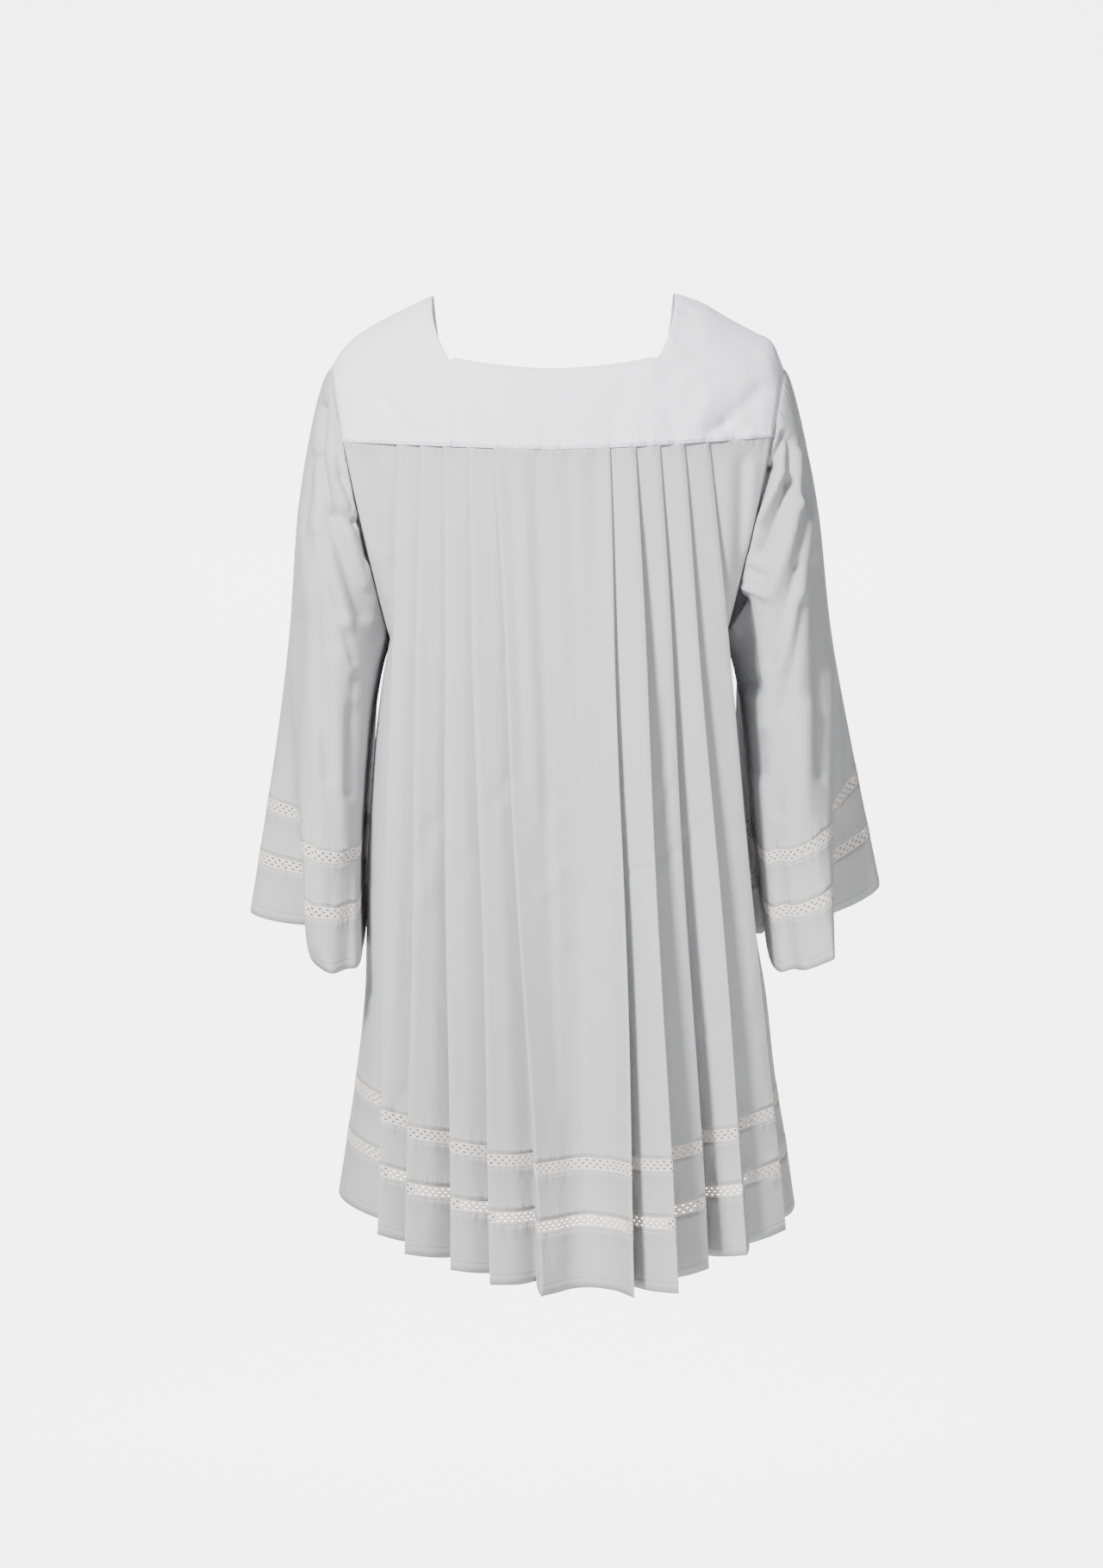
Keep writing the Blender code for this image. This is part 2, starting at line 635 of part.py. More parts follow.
def along_at(side, angle, distance):
    """How far along a sleeve one of its lengthwise lines is when this much cloth is left to the hem."""
    here = sleeve_point(side, 1.0, angle)
    left = distance
    for i in range(LENGTH_STEPS - 1, -1, -1):
        along = i / LENGTH_STEPS
        there = sleeve_point(side, along, angle)
        step = (there - here).length
        if step >= left:
            return along + (1.0 - left / step) / LENGTH_STEPS
        left -= step
        here = there
    return 0.0


def build_sleeve_strip(name, side, rows, kind):
    """One tube of a sleeve from its rings."""
    if side == "left":
        rows = [row[::-1] for row in rows]
    cells = cell_grid(rows, True)
    outer = moved_out(rows, cells, WALL / 2)
    inner = moved_out(rows, cells, -WALL / 2)
    cloth_wall(name, outer, inner, cells, kind)


def build_sleeve(side):
    name = "sleeve_" + side
    angles = [2.0 * math.pi * i / SLEEVE_SIDES for i in range(SLEEVE_SIDES)]
    trimmed = sum(strip.sleeve for strip in STRIPS)

    def ring(distance, part=1.0):
        return [sleeve_point(side, along_at(side, angle, distance) * part, angle) for angle in angles]

    rows = [ring(trimmed + SEAM_GAP / 2, part) for part in SLEEVE_LEVELS]
    build_sleeve_strip(name, side, rows, "cloth")
    low = 0.0
    for strip in STRIPS:
        high = low + strip.sleeve
        rows = [ring(high - SEAM_GAP / 2), ring(low + SEAM_GAP / 2 if low else 0.0)]
        kind = "lace" if "lace" in strip.name else "cloth"
        build_sleeve_strip(name + "_" + strip.name, side, rows, kind)
        low = high


def build_surplice():
    for old in list(bpy.data.objects):
        bpy.data.objects.remove(old, do_unlink=True)
    for half in ("back", "front"):
        build_yoke(half)
        build_skirt(half)
    for side in ("left", "right"):
        build_sleeve(side)


build_surplice()
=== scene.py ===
import math
from collections import namedtuple

import bpy
import numpy as np
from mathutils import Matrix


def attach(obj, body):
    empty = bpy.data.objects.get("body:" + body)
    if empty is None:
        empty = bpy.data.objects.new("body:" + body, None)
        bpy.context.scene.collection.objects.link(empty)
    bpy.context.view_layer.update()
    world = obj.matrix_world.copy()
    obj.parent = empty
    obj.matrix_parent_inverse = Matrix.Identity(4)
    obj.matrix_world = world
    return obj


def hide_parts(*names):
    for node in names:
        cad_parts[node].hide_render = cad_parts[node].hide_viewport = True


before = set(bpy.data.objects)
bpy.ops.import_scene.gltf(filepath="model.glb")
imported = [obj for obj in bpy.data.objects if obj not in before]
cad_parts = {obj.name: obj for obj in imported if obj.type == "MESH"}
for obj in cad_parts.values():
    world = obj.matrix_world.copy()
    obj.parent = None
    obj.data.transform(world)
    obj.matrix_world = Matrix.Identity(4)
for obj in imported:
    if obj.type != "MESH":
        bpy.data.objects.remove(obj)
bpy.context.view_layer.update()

# The place it is shown in: a pale sweep of paper far under and behind the garment. A lamp lights the garment
# from the upper left, a weaker one from the lower right and one from above. The lens is level with the chest.
CAMERA_PLACE = (-0.002, -3.2, -0.247)
CAMERA_TILT_DEG = 5.26
CAMERA_LENS = 66.62
FLOOR_Z = -2.40
PAPER_HALF_WIDTH = 6.0
PAPER_FRONT_Y = -7.0
PAPER_BACK_Y = 5.5
PAPER_CURVE = 2.0
PAPER_BENDS = 16
PAPER_TOP_Z = 5.0
PAPER_GLOW = 4.2  # the paper is lit through from behind, but only beyond the garment and near its middle
PAPER_DARK_Y = 1.5
PAPER_LIT_Y = 2.2
PAPER_DARK_X = 2.4
PAPER_LIT_X = 1.95


def add_object(name, data):
    added = bpy.data.objects.new(name, data)
    bpy.context.scene.collection.objects.link(added)
    return added


def set_inputs(tree, node, inputs):
    """Sets a node's inputs by name or number. A socket is linked, anything else is a value."""
    for name, value in inputs.items():
        if isinstance(value, bpy.types.NodeSocket):
            tree.links.new(value, node.inputs[name])
        else:
            node.inputs[name].default_value = value


def add_node(tree, kind, inputs=None, **settings):
    node = tree.nodes.new(kind)
    for name, value in settings.items():
        setattr(node, name, value)
    set_inputs(tree, node, inputs or {})
    return node


def math_node(tree, operation, *values):
    """The result of a maths node. Each value is a socket or a number."""
    return add_node(tree, "ShaderNodeMath", dict(enumerate(values)), operation=operation).outputs[0]


camera = bpy.data.cameras.new("view")
camera.lens = CAMERA_LENS
camera_object = add_object("view", camera)
camera_object.location = CAMERA_PLACE
camera_object.rotation_euler = (math.radians(90.0 - CAMERA_TILT_DEG), 0.0, 0.0)
bpy.context.scene.camera = camera_object

paper_line = [(PAPER_FRONT_Y, FLOOR_Z)]
for i in range(PAPER_BENDS + 1):
    turn = math.radians(90.0 * i / PAPER_BENDS)
    paper_line.append((PAPER_BACK_Y - PAPER_CURVE + PAPER_CURVE * math.sin(turn),
                       FLOOR_Z + PAPER_CURVE * (1.0 - math.cos(turn))))
paper_line.append((PAPER_BACK_Y, PAPER_TOP_Z))
paper_mesh = bpy.data.meshes.new("paper_sweep")
paper_points = [(x, y, z) for y, z in paper_line for x in (-PAPER_HALF_WIDTH, PAPER_HALF_WIDTH)]
paper_faces = [(2 * i, 2 * i + 1, 2 * i + 3, 2 * i + 2) for i in range(len(paper_line) - 1)]
paper_mesh.from_pydata(paper_points, [], paper_faces)
paper_mesh.polygons.foreach_set("use_smooth", [True] * len(paper_mesh.polygons))
paper = add_object("paper_sweep", paper_mesh)
paper_material = bpy.data.materials.new("paper")
paper_material.use_nodes = True
paper_tree = paper_material.node_tree
paper_place = add_node(paper_tree, "ShaderNodeTexCoord")
paper_parts = add_node(paper_tree, "ShaderNodeSeparateXYZ", {0: paper_place.outputs["Object"]})
paper_glow = add_node(paper_tree, "ShaderNodeMapRange", {
    "Value": paper_parts.outputs["Y"],
    "From Min": PAPER_DARK_Y,
    "From Max": PAPER_LIT_Y,
    "To Min": 0.0,
    "To Max": PAPER_GLOW,
}, interpolation_type="SMOOTHSTEP")
paper_edge = add_node(paper_tree, "ShaderNodeMapRange", {
    "Value": math_node(paper_tree, "ABSOLUTE", paper_parts.outputs["X"]),
    "From Min": PAPER_DARK_X,
    "From Max": PAPER_LIT_X,
}, interpolation_type="SMOOTHSTEP")
set_inputs(paper_tree, paper_tree.nodes["Principled BSDF"], {
    "Base Color": (0.86, 0.86, 0.86, 1.0),
    "Roughness": 0.95,
    "Specular IOR Level": 0.1,
    "Emission Color": (1.0, 1.0, 1.0, 1.0),
    "Emission Strength": math_node(paper_tree, "MULTIPLY", paper_glow.outputs[0], paper_edge.outputs[0]),
})
paper_mesh.materials.append(paper_material)

Lamp = namedtuple("Lamp", "name place aim size power")
LAMPS = [
    Lamp("window", (-1.40, -2.5, 1.5), (0.0, 0.0, -0.35), 0.7, 312.0),
    Lamp("fill", (1.9, -3.2, -1.1), (0.0, 0.0, -0.7), 2.0, 60.0),
    Lamp("overhead", (0.0, -0.9, 2.6), (0.0, 0.0, -0.3), 1.6, 16.0),
]
for lamp in LAMPS:
    light = bpy.data.lights.new(lamp.name, "AREA")
    light.shape = "DISK"
    light.size = lamp.size
    light.energy = lamp.power
    lamp_object = add_object(lamp.name, light)
    away = [a - b for a, b in zip(lamp.place, lamp.aim)]
    lamp_object.location = lamp.place
    lamp_object.rotation_euler = (math.atan2(math.hypot(away[0], away[1]), away[2]), 0.0,
                                  math.atan2(away[1], away[0]) + math.pi / 2)

WORLD_TINT = (0.93, 0.95, 1.0, 1.0)
WORLD_POWER = 0.16
world = bpy.data.worlds.new("studio")
world.use_nodes = True
world_tree = world.node_tree
set_inputs(world_tree, world_tree.nodes["Background"], {"Color": WORLD_TINT, "Strength": WORLD_POWER})
bpy.context.scene.world = world

# The yoke: two layers of plain white cotton and polyester cloth, cut square round the neck and joined on the
# shoulders, with the neck edge turned in. It carries all the rest and laps the tops of the pleats. Its colour
# is far lighter than that of the skirt's and sleeves' white cloth: painted light on the upturned yoke.
YOKE_SEAM_Z = -0.175
SEAM_RISE = {"left": 0.0090, "right": 0.0140}
SEAM_RISE_POWER = 1.5
YOKE_HALF_WIDTH = 0.262
YOKE_DEPTH = {"back": 0.135, "front": 0.125}
YOKE_POWER = 2.4
NECK_TOP_X = 0.131
NECK_CORNER_X = 0.1094
NECK_CORNER_Z = {"back": -0.080, "front": -0.108}
NECK_SAG_DEG = {"back": 4.3, "front": 5.0}
NECK_SLANT_POWER = 2.2
YOKE_LAP = 0.0014  # how far the yoke's lower edge reaches over the skirt
YOKE_LAP_OUT = 0.0010
YOKE_THICK = 0.0008
ARMHOLE_X = {"left": 0.210, "right": 0.2185}
ARMHOLE_Z = -0.230
ARMHOLE_LEAN = 0.032
ARMHOLE_HALF_HEIGHT = 0.145
ARMHOLE_HALF_DEPTH = 0.095
UNDERARM_Z = ARMHOLE_Z - ARMHOLE_HALF_HEIGHT

ShoulderPoint = namedtuple("ShoulderPoint", "across left right")
SHOULDER = [
    ShoulderPoint(0.00, -0.0070, -0.0040),
    ShoulderPoint(0.25, -0.0197, -0.0143),
    ShoulderPoint(0.50, -0.0338, -0.0314),
    ShoulderPoint(0.75, -0.0505, -0.0472),
    ShoulderPoint(0.90, -0.0670, -0.0575),
    ShoulderPoint(1.00, -0.0850, -0.0850),
]

# Creases of the hanging cloth by face, in millimetres. Each lies along a line from (x0, z0) to (x1, z1). Its
# depth is above zero on a ridge.
Crease = namedtuple("Crease", "x0 z0 x1 z1 width depth")
MM = 1000.0
YOKE_CREASES = {
    "back": [
        (137, -28, 152, -31, 3, -3.3), (135, -40, 153, -44, 3, -3.7), (133, -52, 150, -56, 3.2, -3.3),
        (132, -63, 147, -66, 3.2, -2.8), (167, -158, 185, -147, 6, -3.7), (185, -147, 222, -112, 10, -5.1),
        (150, -150, 165, -120, 12, 3.3), (-157, -160, -180, -125, 7, -3.3),
        (-180, -125, -207, -92, 10, -3.3), (-60, -165, -85, -105, 12, -2.3),
        (60, -165, 75, -115, 12, -2.3), (-30, -172, -36, -140, 4, -1.6), (-18, -172, -16, -135, 4, 1.4),
        (100, -172, 94, -150, 4, -1.6), (128, -170, 122, -140, 5, -1.9),
        (-95, -172, -104, -145, 4.5, -1.6), (-135, -150, -165, -105, 8, 2.5),
        (190, -165, 215, -140, 6, -2.8), (120, -100, 160, -75, 9, -2.2), (-120, -90, -150, -60, 10, -1.9),
    ],
    "front": [
        (165, -160, 200, -120, 10, -4.2), (-160, -160, -196, -118, 9, -3.7),
        (70, -168, 90, -130, 11, -2.3), (-40, -168, -70, -130, 12, -2.3),
    ],
}

QUARTER = math.radians(90)
DRAW_POWER = 3  # how late the cloth is drawn from the oval to the armhole


def blend(a, b, part):
    return a + (b - a) * part


def ease(part):
    part = min(max(part, 0.0), 1.0)
    return part * part * (3.0 - 2.0 * part)


def read_table(rows, key, at):
    """The whole row at one value of its key column, on smooth curves through the rows."""
    keys = [getattr(row, key) for row in rows]
    last = len(rows) - 1
    falling = keys[0] > keys[-1]
    i = 0
    while i < last - 1 and (at < keys[i + 1] if falling else at > keys[i + 1]):
        i += 1
    step = keys[i + 1] - keys[i]
    part = min(max((at - keys[i]) / step, 0.0), 1.0)
    values = []
    for column in range(len(rows[0])):
        here = rows[i][column]
        there = rows[i + 1][column]
        slope_here = (there - here) / step
        slope_there = slope_here
        if i > 0:
            slope_here = (there - rows[i - 1][column]) / (keys[i + 1] - keys[i - 1])
        if i + 1 < last:
            slope_there = (rows[i + 2][column] - here) / (keys[i + 2] - keys[i])
        a = part * part * (3.0 - 2.0 * part)
        b = part * (1.0 - part) ** 2
        c = part * part * (part - 1.0)
        values.append(blend(here, there, a) + step * (b * slope_here + c * slope_there))
    return type(rows[0])(*values)


def side_of(x):
    return "left" if x < 0.0 else "right"


def armhole_point(side, angle):
    """An armhole as (distance from the middle, out, z). The angle is 0 at the shoulder."""
    x = ARMHOLE_X[side] + ARMHOLE_LEAN * math.cos(angle)
    z = ARMHOLE_Z + ARMHOLE_HALF_HEIGHT * math.cos(angle)
    return (x, ARMHOLE_HALF_DEPTH * math.sin(angle), z)


def armhole_angle(z):
    return math.acos(min(max((z - ARMHOLE_Z) / ARMHOLE_HALF_HEIGHT, -1.0), 1.0))


def seam_end(side):
    """Where the yoke seam meets the armhole."""
    return armhole_point(side, armhole_angle(YOKE_SEAM_Z + SEAM_RISE[side]))


def seam_z(x):
    side = side_of(x)
    return YOKE_SEAM_Z + SEAM_RISE[side] * min(abs(x) / seam_end(side)[0], 1.0) ** SEAM_RISE_POWER


def oval_out(x, half):
    """How far out the oval at the yoke seam stands at x."""
    part = min(abs(x) / YOKE_HALF_WIDTH, 1.0)
    return YOKE_DEPTH[half] * (1.0 - part**YOKE_POWER) ** (1.0 / YOKE_POWER)


def strap_edge_x(z, half):
    part = min(max(z / NECK_CORNER_Z[half], 0.0), 1.0)
    return NECK_TOP_X - (NECK_TOP_X - NECK_CORNER_X) * part**NECK_SLANT_POWER


def yoke_point(half, side, across, turn):
    """A point of one side of the yoke: across 0 at the neck and 1 at the armhole, turn 0 to 90 degrees."""
    sign = -1.0 if side == "left" else 1.0
    top_z = getattr(read_table(SHOULDER, "across", across), side)
    end_angle = armhole_angle(seam_end(side)[2])
    end = np.array(armhole_point(side, end_angle * turn / QUARTER))
    rise = math.cos(turn)
    x = blend(strap_edge_x(YOKE_SEAM_Z * (1.0 - rise), half), end[0], across)
    out = oval_out(x, half) * math.sin(turn)
    plain_end = np.array((end[0], oval_out(end[0], half) * math.sin(turn),
                          blend(seam_end(side)[2], getattr(SHOULDER[-1], side), rise)))
    point = np.array((x, out, blend(seam_z(sign * x), top_z, rise))) + (end - plain_end) * across**DRAW_POWER
    return (sign * point[0], point[1], point[2])


TINY = 1e-12
TURN_FADE = 3.0  # how sharply a crease fades out where the cloth turns from its face


def outward(sheet, around, flip):
    """Unit normals of a sheet of points, away from the inside of the garment."""
    down = np.gradient(sheet, axis=0)
    if around:
        across = (np.roll(sheet, -1, axis=1) - np.roll(sheet, 1, axis=1)) / 2.0
    else:
        across = np.gradient(sheet, axis=1)
    normals = np.cross(across, down)
    normals /= np.maximum(np.linalg.norm(normals, axis=2, keepdims=True), TINY)
    return -normals if flip else normals


def in_metres(kind, rows):
    """Rows of this kind from rows in millimetres."""
    return [kind(*[value / MM for value in row]) for row in rows]


def crease_cloth(sheet, normals, creases):
    """Pushes a sheet out and in along its creases."""
    x = sheet[..., 0]
    z = sheet[..., 2]
    depth = np.zeros(x.shape)
    for face, rows in creases.items():
        facing = np.clip(normals[..., 1] * (-TURN_FADE if face == "back" else TURN_FADE), 0.0, 1.0)
        for crease in in_metres(Crease, rows):
            along_x = crease.x1 - crease.x0
            along_z = crease.z1 - crease.z0
            length2 = along_x**2 + along_z**2
            part = np.clip(((x - crease.x0) * along_x + (z - crease.z0) * along_z) / length2, 0.0, 1.0)
            away2 = (x - crease.x0 - part * along_x) ** 2 + (z - crease.z0 - part * along_z) ** 2
            depth += crease.depth * np.exp(-away2 / crease.width**2) * facing
    return sheet + normals * depth[..., None]


def grid_cells(count_down, count_across, around, flip):
    cells = []
    for r in range(count_down - 1):
        for c in range(count_across if around else count_across - 1):
            d = (c + 1) % count_across
            above = r * count_across
            below = above + count_across
            cell = (above + c, below + c, below + d, above + d)
            cells.append(cell if flip else cell[::-1])
    return cells


def lengths_along(points, axis):
    """Metres from the first point of each line of points."""
    steps = np.linalg.norm(np.diff(points, axis=axis), axis=-1)
    return np.insert(np.cumsum(steps, axis=axis), 0, 0.0, axis=axis)


def cloth_lengths(sheet):
    """Metres of cloth from the first point, across and down, even where the sheet is flared."""
    across = lengths_along(sheet, 1).mean(axis=0)
    down = lengths_along(sheet, 0).mean(axis=1)[:, None]
    return np.broadcast_to(across, sheet.shape[:2]), np.broadcast_to(down, sheet.shape[:2])


# What a piece is made of, how thick it is and how it is held.
Looks = namedtuple("Looks", "material thick slot held")


def finish_piece(node, mesh, looks, width, length, across, down, gather, stitch):
    """Gives a piece its map in metres of cloth, the gather and the millimetres to the stitches at each point,
    and its material, thickness and place in the frame."""
    mesh.polygons.foreach_set("use_smooth", [True] * len(mesh.polygons))
    corner_points = np.empty(len(mesh.loops), dtype=np.int32)
    mesh.loops.foreach_get("vertex_index", corner_points)
    places = np.stack([across.reshape(-1), down.reshape(-1)], axis=1)[corner_points]
    layer = mesh.uv_layers.new(name="cloth")
    layer.data.foreach_set("uv", places.astype(np.float32).reshape(-1))
    for label, values in (("gather", gather), ("stitch", stitch * MM)):
        strength = mesh.attributes.new(label, "FLOAT", "POINT")
        strength.data.foreach_set("value", values.astype(np.float32).reshape(-1))
    mesh.materials.append(looks.material)
    piece = add_object(node + "_cloth", mesh)
    wall = piece.modifiers.new("thickness", "SOLIDIFY")
    wall.thickness = looks.thick
    wall.offset = 0.0
    wall.use_even_offset = False
    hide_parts(node)
    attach(piece, "root")


def finish_sheet(node, sheet, around, cells, looks, *maps):
    """Makes a piece of a sheet of points."""
    mesh = bpy.data.meshes.new(node)
    mesh.from_pydata(sheet.reshape(-1, 3).tolist(), [], cells)
    closed = np.concatenate([sheet, sheet[:, :1]], axis=1) if around else sheet
    width = np.linalg.norm(np.diff(closed, axis=1), axis=2).sum(axis=1).max()
    length = np.linalg.norm(np.diff(sheet, axis=0), axis=2).sum(axis=0).max()
    finish_piece(node, mesh, looks, float(width), float(length), *maps)


def new_group(name, values, results):
    """A shader group with these values going in and these results coming out, and its two end nodes."""
    tree = bpy.data.node_groups.new(name, "ShaderNodeTree")
    for label, default in values.items():
        socket = tree.interface.new_socket(label, in_out="INPUT", socket_type="NodeSocketFloat")
        socket.default_value = default
    for label in results:
        tree.interface.new_socket(label, in_out="OUTPUT", socket_type="NodeSocketFloat")
    return tree, tree.nodes.new("NodeGroupInput"), tree.nodes.new("NodeGroupOutput")


# Plain weave: crossed sine threads on the cloth's own map, with a slow unevenness of the yarn.
weave, weave_in, weave_out = new_group("plain_weave", {"Threads per metre": 2200.0}, ["Height", "Slub"])
weave_map = add_node(weave, "ShaderNodeUVMap", uv_map="cloth")
weave_parts = add_node(weave, "ShaderNodeSeparateXYZ", {0: weave_map.outputs["UV"]})
turns = math_node(weave, "MULTIPLY", weave_in.outputs[0], math.pi)
warp = math_node(weave, "SINE", math_node(weave, "MULTIPLY", weave_parts.outputs["X"], turns))
weft = math_node(weave, "SINE", math_node(weave, "MULTIPLY", weave_parts.outputs["Y"], turns))
crossing = math_node(weave, "MULTIPLY", warp, weft)
slub_map = add_node(weave, "ShaderNodeMapping", {
    "Vector": weave_map.outputs["UV"],
    "Scale": (900.0, 60.0, 1.0),
})
slub = add_node(weave, "ShaderNodeTexNoise", {
    "Vector": slub_map.outputs["Vector"],
    "Scale": 1.0,
    "Detail": 3.0,
}, noise_dimensions="2D")
set_inputs(weave, weave_out, {
    "Height": math_node(weave, "MULTIPLY_ADD", crossing, 0.5),
    "Slub": slub.outputs["Fac"],
})

# Handling: the soft crumple of worn cloth, and the short puckers where it is gathered to a seam. Its tone is
# the crumple's own noise, so the cloth is coloured darker in the crumple's low parts: painted shade.
crumple_and_shade, crumple_and_shade_in, crumple_and_shade_out = new_group(
    "worn_cloth", {"Crumple size": 16.0, "Pucker": 1.0}, ["Height", "Tone"])
handling_place = add_node(crumple_and_shade, "ShaderNodeTexCoord")
stretch = add_node(crumple_and_shade, "ShaderNodeMapping", {
    "Vector": handling_place.outputs["Object"],
    "Scale": (1.0, 1.0, 0.35),
})
crumple = add_node(crumple_and_shade, "ShaderNodeTexNoise", {
    "Vector": stretch.outputs["Vector"],
    "Scale": crumple_and_shade_in.outputs["Crumple size"],
    "Detail": 3.0,
    "Roughness": 0.45,
    "Distortion": 0.6,
})
pucker_map = add_node(crumple_and_shade, "ShaderNodeUVMap", uv_map="cloth")
pucker_scale = add_node(crumple_and_shade, "ShaderNodeMapping", {
    "Vector": pucker_map.outputs["UV"],
    "Scale": (95.0, 22.0, 1.0),
})
pucker = add_node(crumple_and_shade, "ShaderNodeTexNoise", {
    "Vector": pucker_scale.outputs["Vector"],
    "Scale": 1.0,
    "Detail": 2.0,
}, noise_dimensions="2D")
gathered = add_node(crumple_and_shade, "ShaderNodeAttribute", attribute_name="gather")
pull = math_node(crumple_and_shade, "MULTIPLY", pucker.outputs["Fac"], gathered.outputs["Fac"])
pull = math_node(crumple_and_shade, "MULTIPLY", pull, crumple_and_shade_in.outputs["Pucker"])
# The tone output is painted shade: the crumple's noise, which also raises the bump, so its low parts come out
# darker.
set_inputs(crumple_and_shade, crumple_and_shade_out, {
    "Height": math_node(crumple_and_shade, "ADD", crumple.outputs["Fac"], pull),
    "Tone": crumple.outputs["Fac"],
})

# Machine stitches: short sunk dashes of thread along a line, 2.6 mm apart.
STITCH_SINK = 0.00035
STITCH_DASH = 0.68  # the part of each stitch that shows
STITCH_PULL_MM = 1.6  # how far beside the line the cloth is drawn down
stitching, stitching_in, stitching_out = new_group(
    "machine_stitches", {"Stitches per metre": 385.0, "Half width in mm": 0.45}, ["Thread", "Sink"])
stitching_map = add_node(stitching, "ShaderNodeUVMap", uv_map="cloth")
stitching_parts = add_node(stitching, "ShaderNodeSeparateXYZ", {0: stitching_map.outputs["UV"]})
stitching_away = add_node(stitching, "ShaderNodeAttribute", attribute_name="stitch")
away = math_node(stitching, "ABSOLUTE", stitching_away.outputs["Fac"])
on_line = math_node(stitching, "LESS_THAN", away, stitching_in.outputs["Half width in mm"])
along = math_node(stitching, "ADD", stitching_parts.outputs["X"], stitching_parts.outputs["Y"])
along = math_node(stitching, "MULTIPLY", along, stitching_in.outputs["Stitches per metre"])
dash = math_node(stitching, "LESS_THAN", math_node(stitching, "FRACT", along), STITCH_DASH)
reach = math_node(stitching, "SUBTRACT", 1.0, math_node(stitching, "DIVIDE", away, STITCH_PULL_MM))
set_inputs(stitching, stitching_out, {
    "Thread": math_node(stitching, "MULTIPLY", on_line, dash),
    "Sink": math_node(stitching, "MAXIMUM", reach, 0.0),
})

PAINTED_CRUMPLE_SHADE = 0.8  # how much the crumple darkens the colour in its low parts, which is painted shade, and how much the yarn's unevenness changes the tone
SLUB_TONE = 0.35
THREAD_TONE = 0.82  # the sewing thread against the cloth


def cloth_finish(name, colour, shade, crumple, height, pucker, threads, relief):
    """White cloth: matt, with the weave's grain, a soft crumple whose low parts are coloured darker as
    painted shade, and a faint change of tone from the yarn's unevenness.
    """
    material = bpy.data.materials.new(name)
    material.use_nodes = True
    tree = material.node_tree
    weave_node = add_node(tree, "ShaderNodeGroup", {"Threads per metre": threads}, node_tree=weave)
    crumple_inputs = {"Crumple size": crumple, "Pucker": pucker}
    crumple_and_shade_node = add_node(tree, "ShaderNodeGroup", crumple_inputs, node_tree=crumple_and_shade)
    stitch_node = add_node(tree, "ShaderNodeGroup", node_tree=stitching)
    # Painted shade: the colour goes towards the shade colour where the crumple is low. The slub's part is the
    # yarn's own unevenness.
    painted_crumple_shade = math_node(tree, "MULTIPLY", crumple_and_shade_node.outputs["Tone"], PAINTED_CRUMPLE_SHADE)
    slub_tone = math_node(tree, "MULTIPLY", weave_node.outputs["Slub"], SLUB_TONE)
    tone = add_node(tree, "ShaderNodeMix", {
        "Factor": math_node(tree, "ADD", painted_crumple_shade, slub_tone),
        "A": (*shade, 1.0),
        "B": (*colour, 1.0),
    }, data_type="RGBA")
    thread = add_node(tree, "ShaderNodeMix", {
        "Factor": stitch_node.outputs["Thread"],
        "A": tone.outputs["Result"],
        "B": (*[value * THREAD_TONE for value in colour], 1.0),
    }, data_type="RGBA")
    sunk = math_node(tree, "MULTIPLY", stitch_node.outputs["Sink"], -STITCH_SINK / height)
    soft = add_node(tree, "ShaderNodeBump", {
        "Strength": 1.0,
        "Distance": height,
        "Height": math_node(tree, "ADD", crumple_and_shade_node.outputs["Height"], sunk),
    })
    fine = add_node(tree, "ShaderNodeBump", {
        "Strength": 0.6,
        "Distance": relief,
        "Height": weave_node.outputs["Height"],
        "Normal": soft.outputs["Normal"],
    })
    set_inputs(tree, tree.nodes["Principled BSDF"], {
        "Base Color": thread.outputs["Result"],
        "Roughness": 0.82,
        "Metallic": 0.0,
        "Specular IOR Level": 0.25,
        "Sheen Weight": 0.12,
        "Sheen Roughness": 0.5,
        "Normal": fine.outputs["Normal"],
    })
    return material


# Painted light: the yoke's white cloth is given a much lighter colour than the skirt's, for the light on its
# upturned top.
yoke_cloth = cloth_finish("yoke_cloth", (0.90, 0.875, 0.925), (0.86, 0.835, 0.89),
                          crumple=18.0, height=0.0032, pucker=1.1, threads=2300.0, relief=0.00004)

YOKE_STRAP_COLUMNS = 26
YOKE_NECK_COLUMNS = 46
YOKE_STRAP_ROWS = 22
YOKE_LOW_ROWS = 22
YOKE_LAP_ROWS = 3
GATHER_REACH = 0.022
NECK_STITCH = 0.0040  # how far the stitching runs from the neck edge
SEAM_STITCH = 0.0022  # and from the lower seam


def yoke_sheet(half):
    """The yoke's points row by row from the shoulder line down, the neck's opening filled in."""
    corner_turn = math.acos(1.0 - NECK_CORNER_Z[half] / YOKE_SEAM_Z)
    places = [i / YOKE_STRAP_COLUMNS for i in range(YOKE_STRAP_COLUMNS + 1)]
    middle = [NECK_CORNER_X * (2.0 * i / YOKE_NECK_COLUMNS - 1.0) for i in range(1, YOKE_NECK_COLUMNS)]
    rows = []
    for r in range(YOKE_STRAP_ROWS + YOKE_LOW_ROWS + 1):
        lower_part = (r - YOKE_STRAP_ROWS) / YOKE_LOW_ROWS
        strap_turn = corner_turn * min(r / YOKE_STRAP_ROWS, 1.0)
        if r > YOKE_STRAP_ROWS:
            strap_turn = blend(corner_turn, QUARTER, lower_part)
        row = [yoke_point(half, "left", place, strap_turn) for place in reversed(places)]
        for x in middle:
            sag = math.radians(NECK_SAG_DEG[half]) * (1.0 - (x / NECK_CORNER_X) ** 2)
            turn = blend(corner_turn + sag, QUARTER, max(lower_part, 0.0))
            row.append((x, oval_out(x, half) * math.sin(turn), seam_z(x) * (1.0 - math.cos(turn))))
        row += [yoke_point(half, "right", place, strap_turn) for place in places]
        rows.append(row)
    sheet = np.array(rows)
    if half == "back":
        sheet[..., 1] *= -1.0
    return sheet


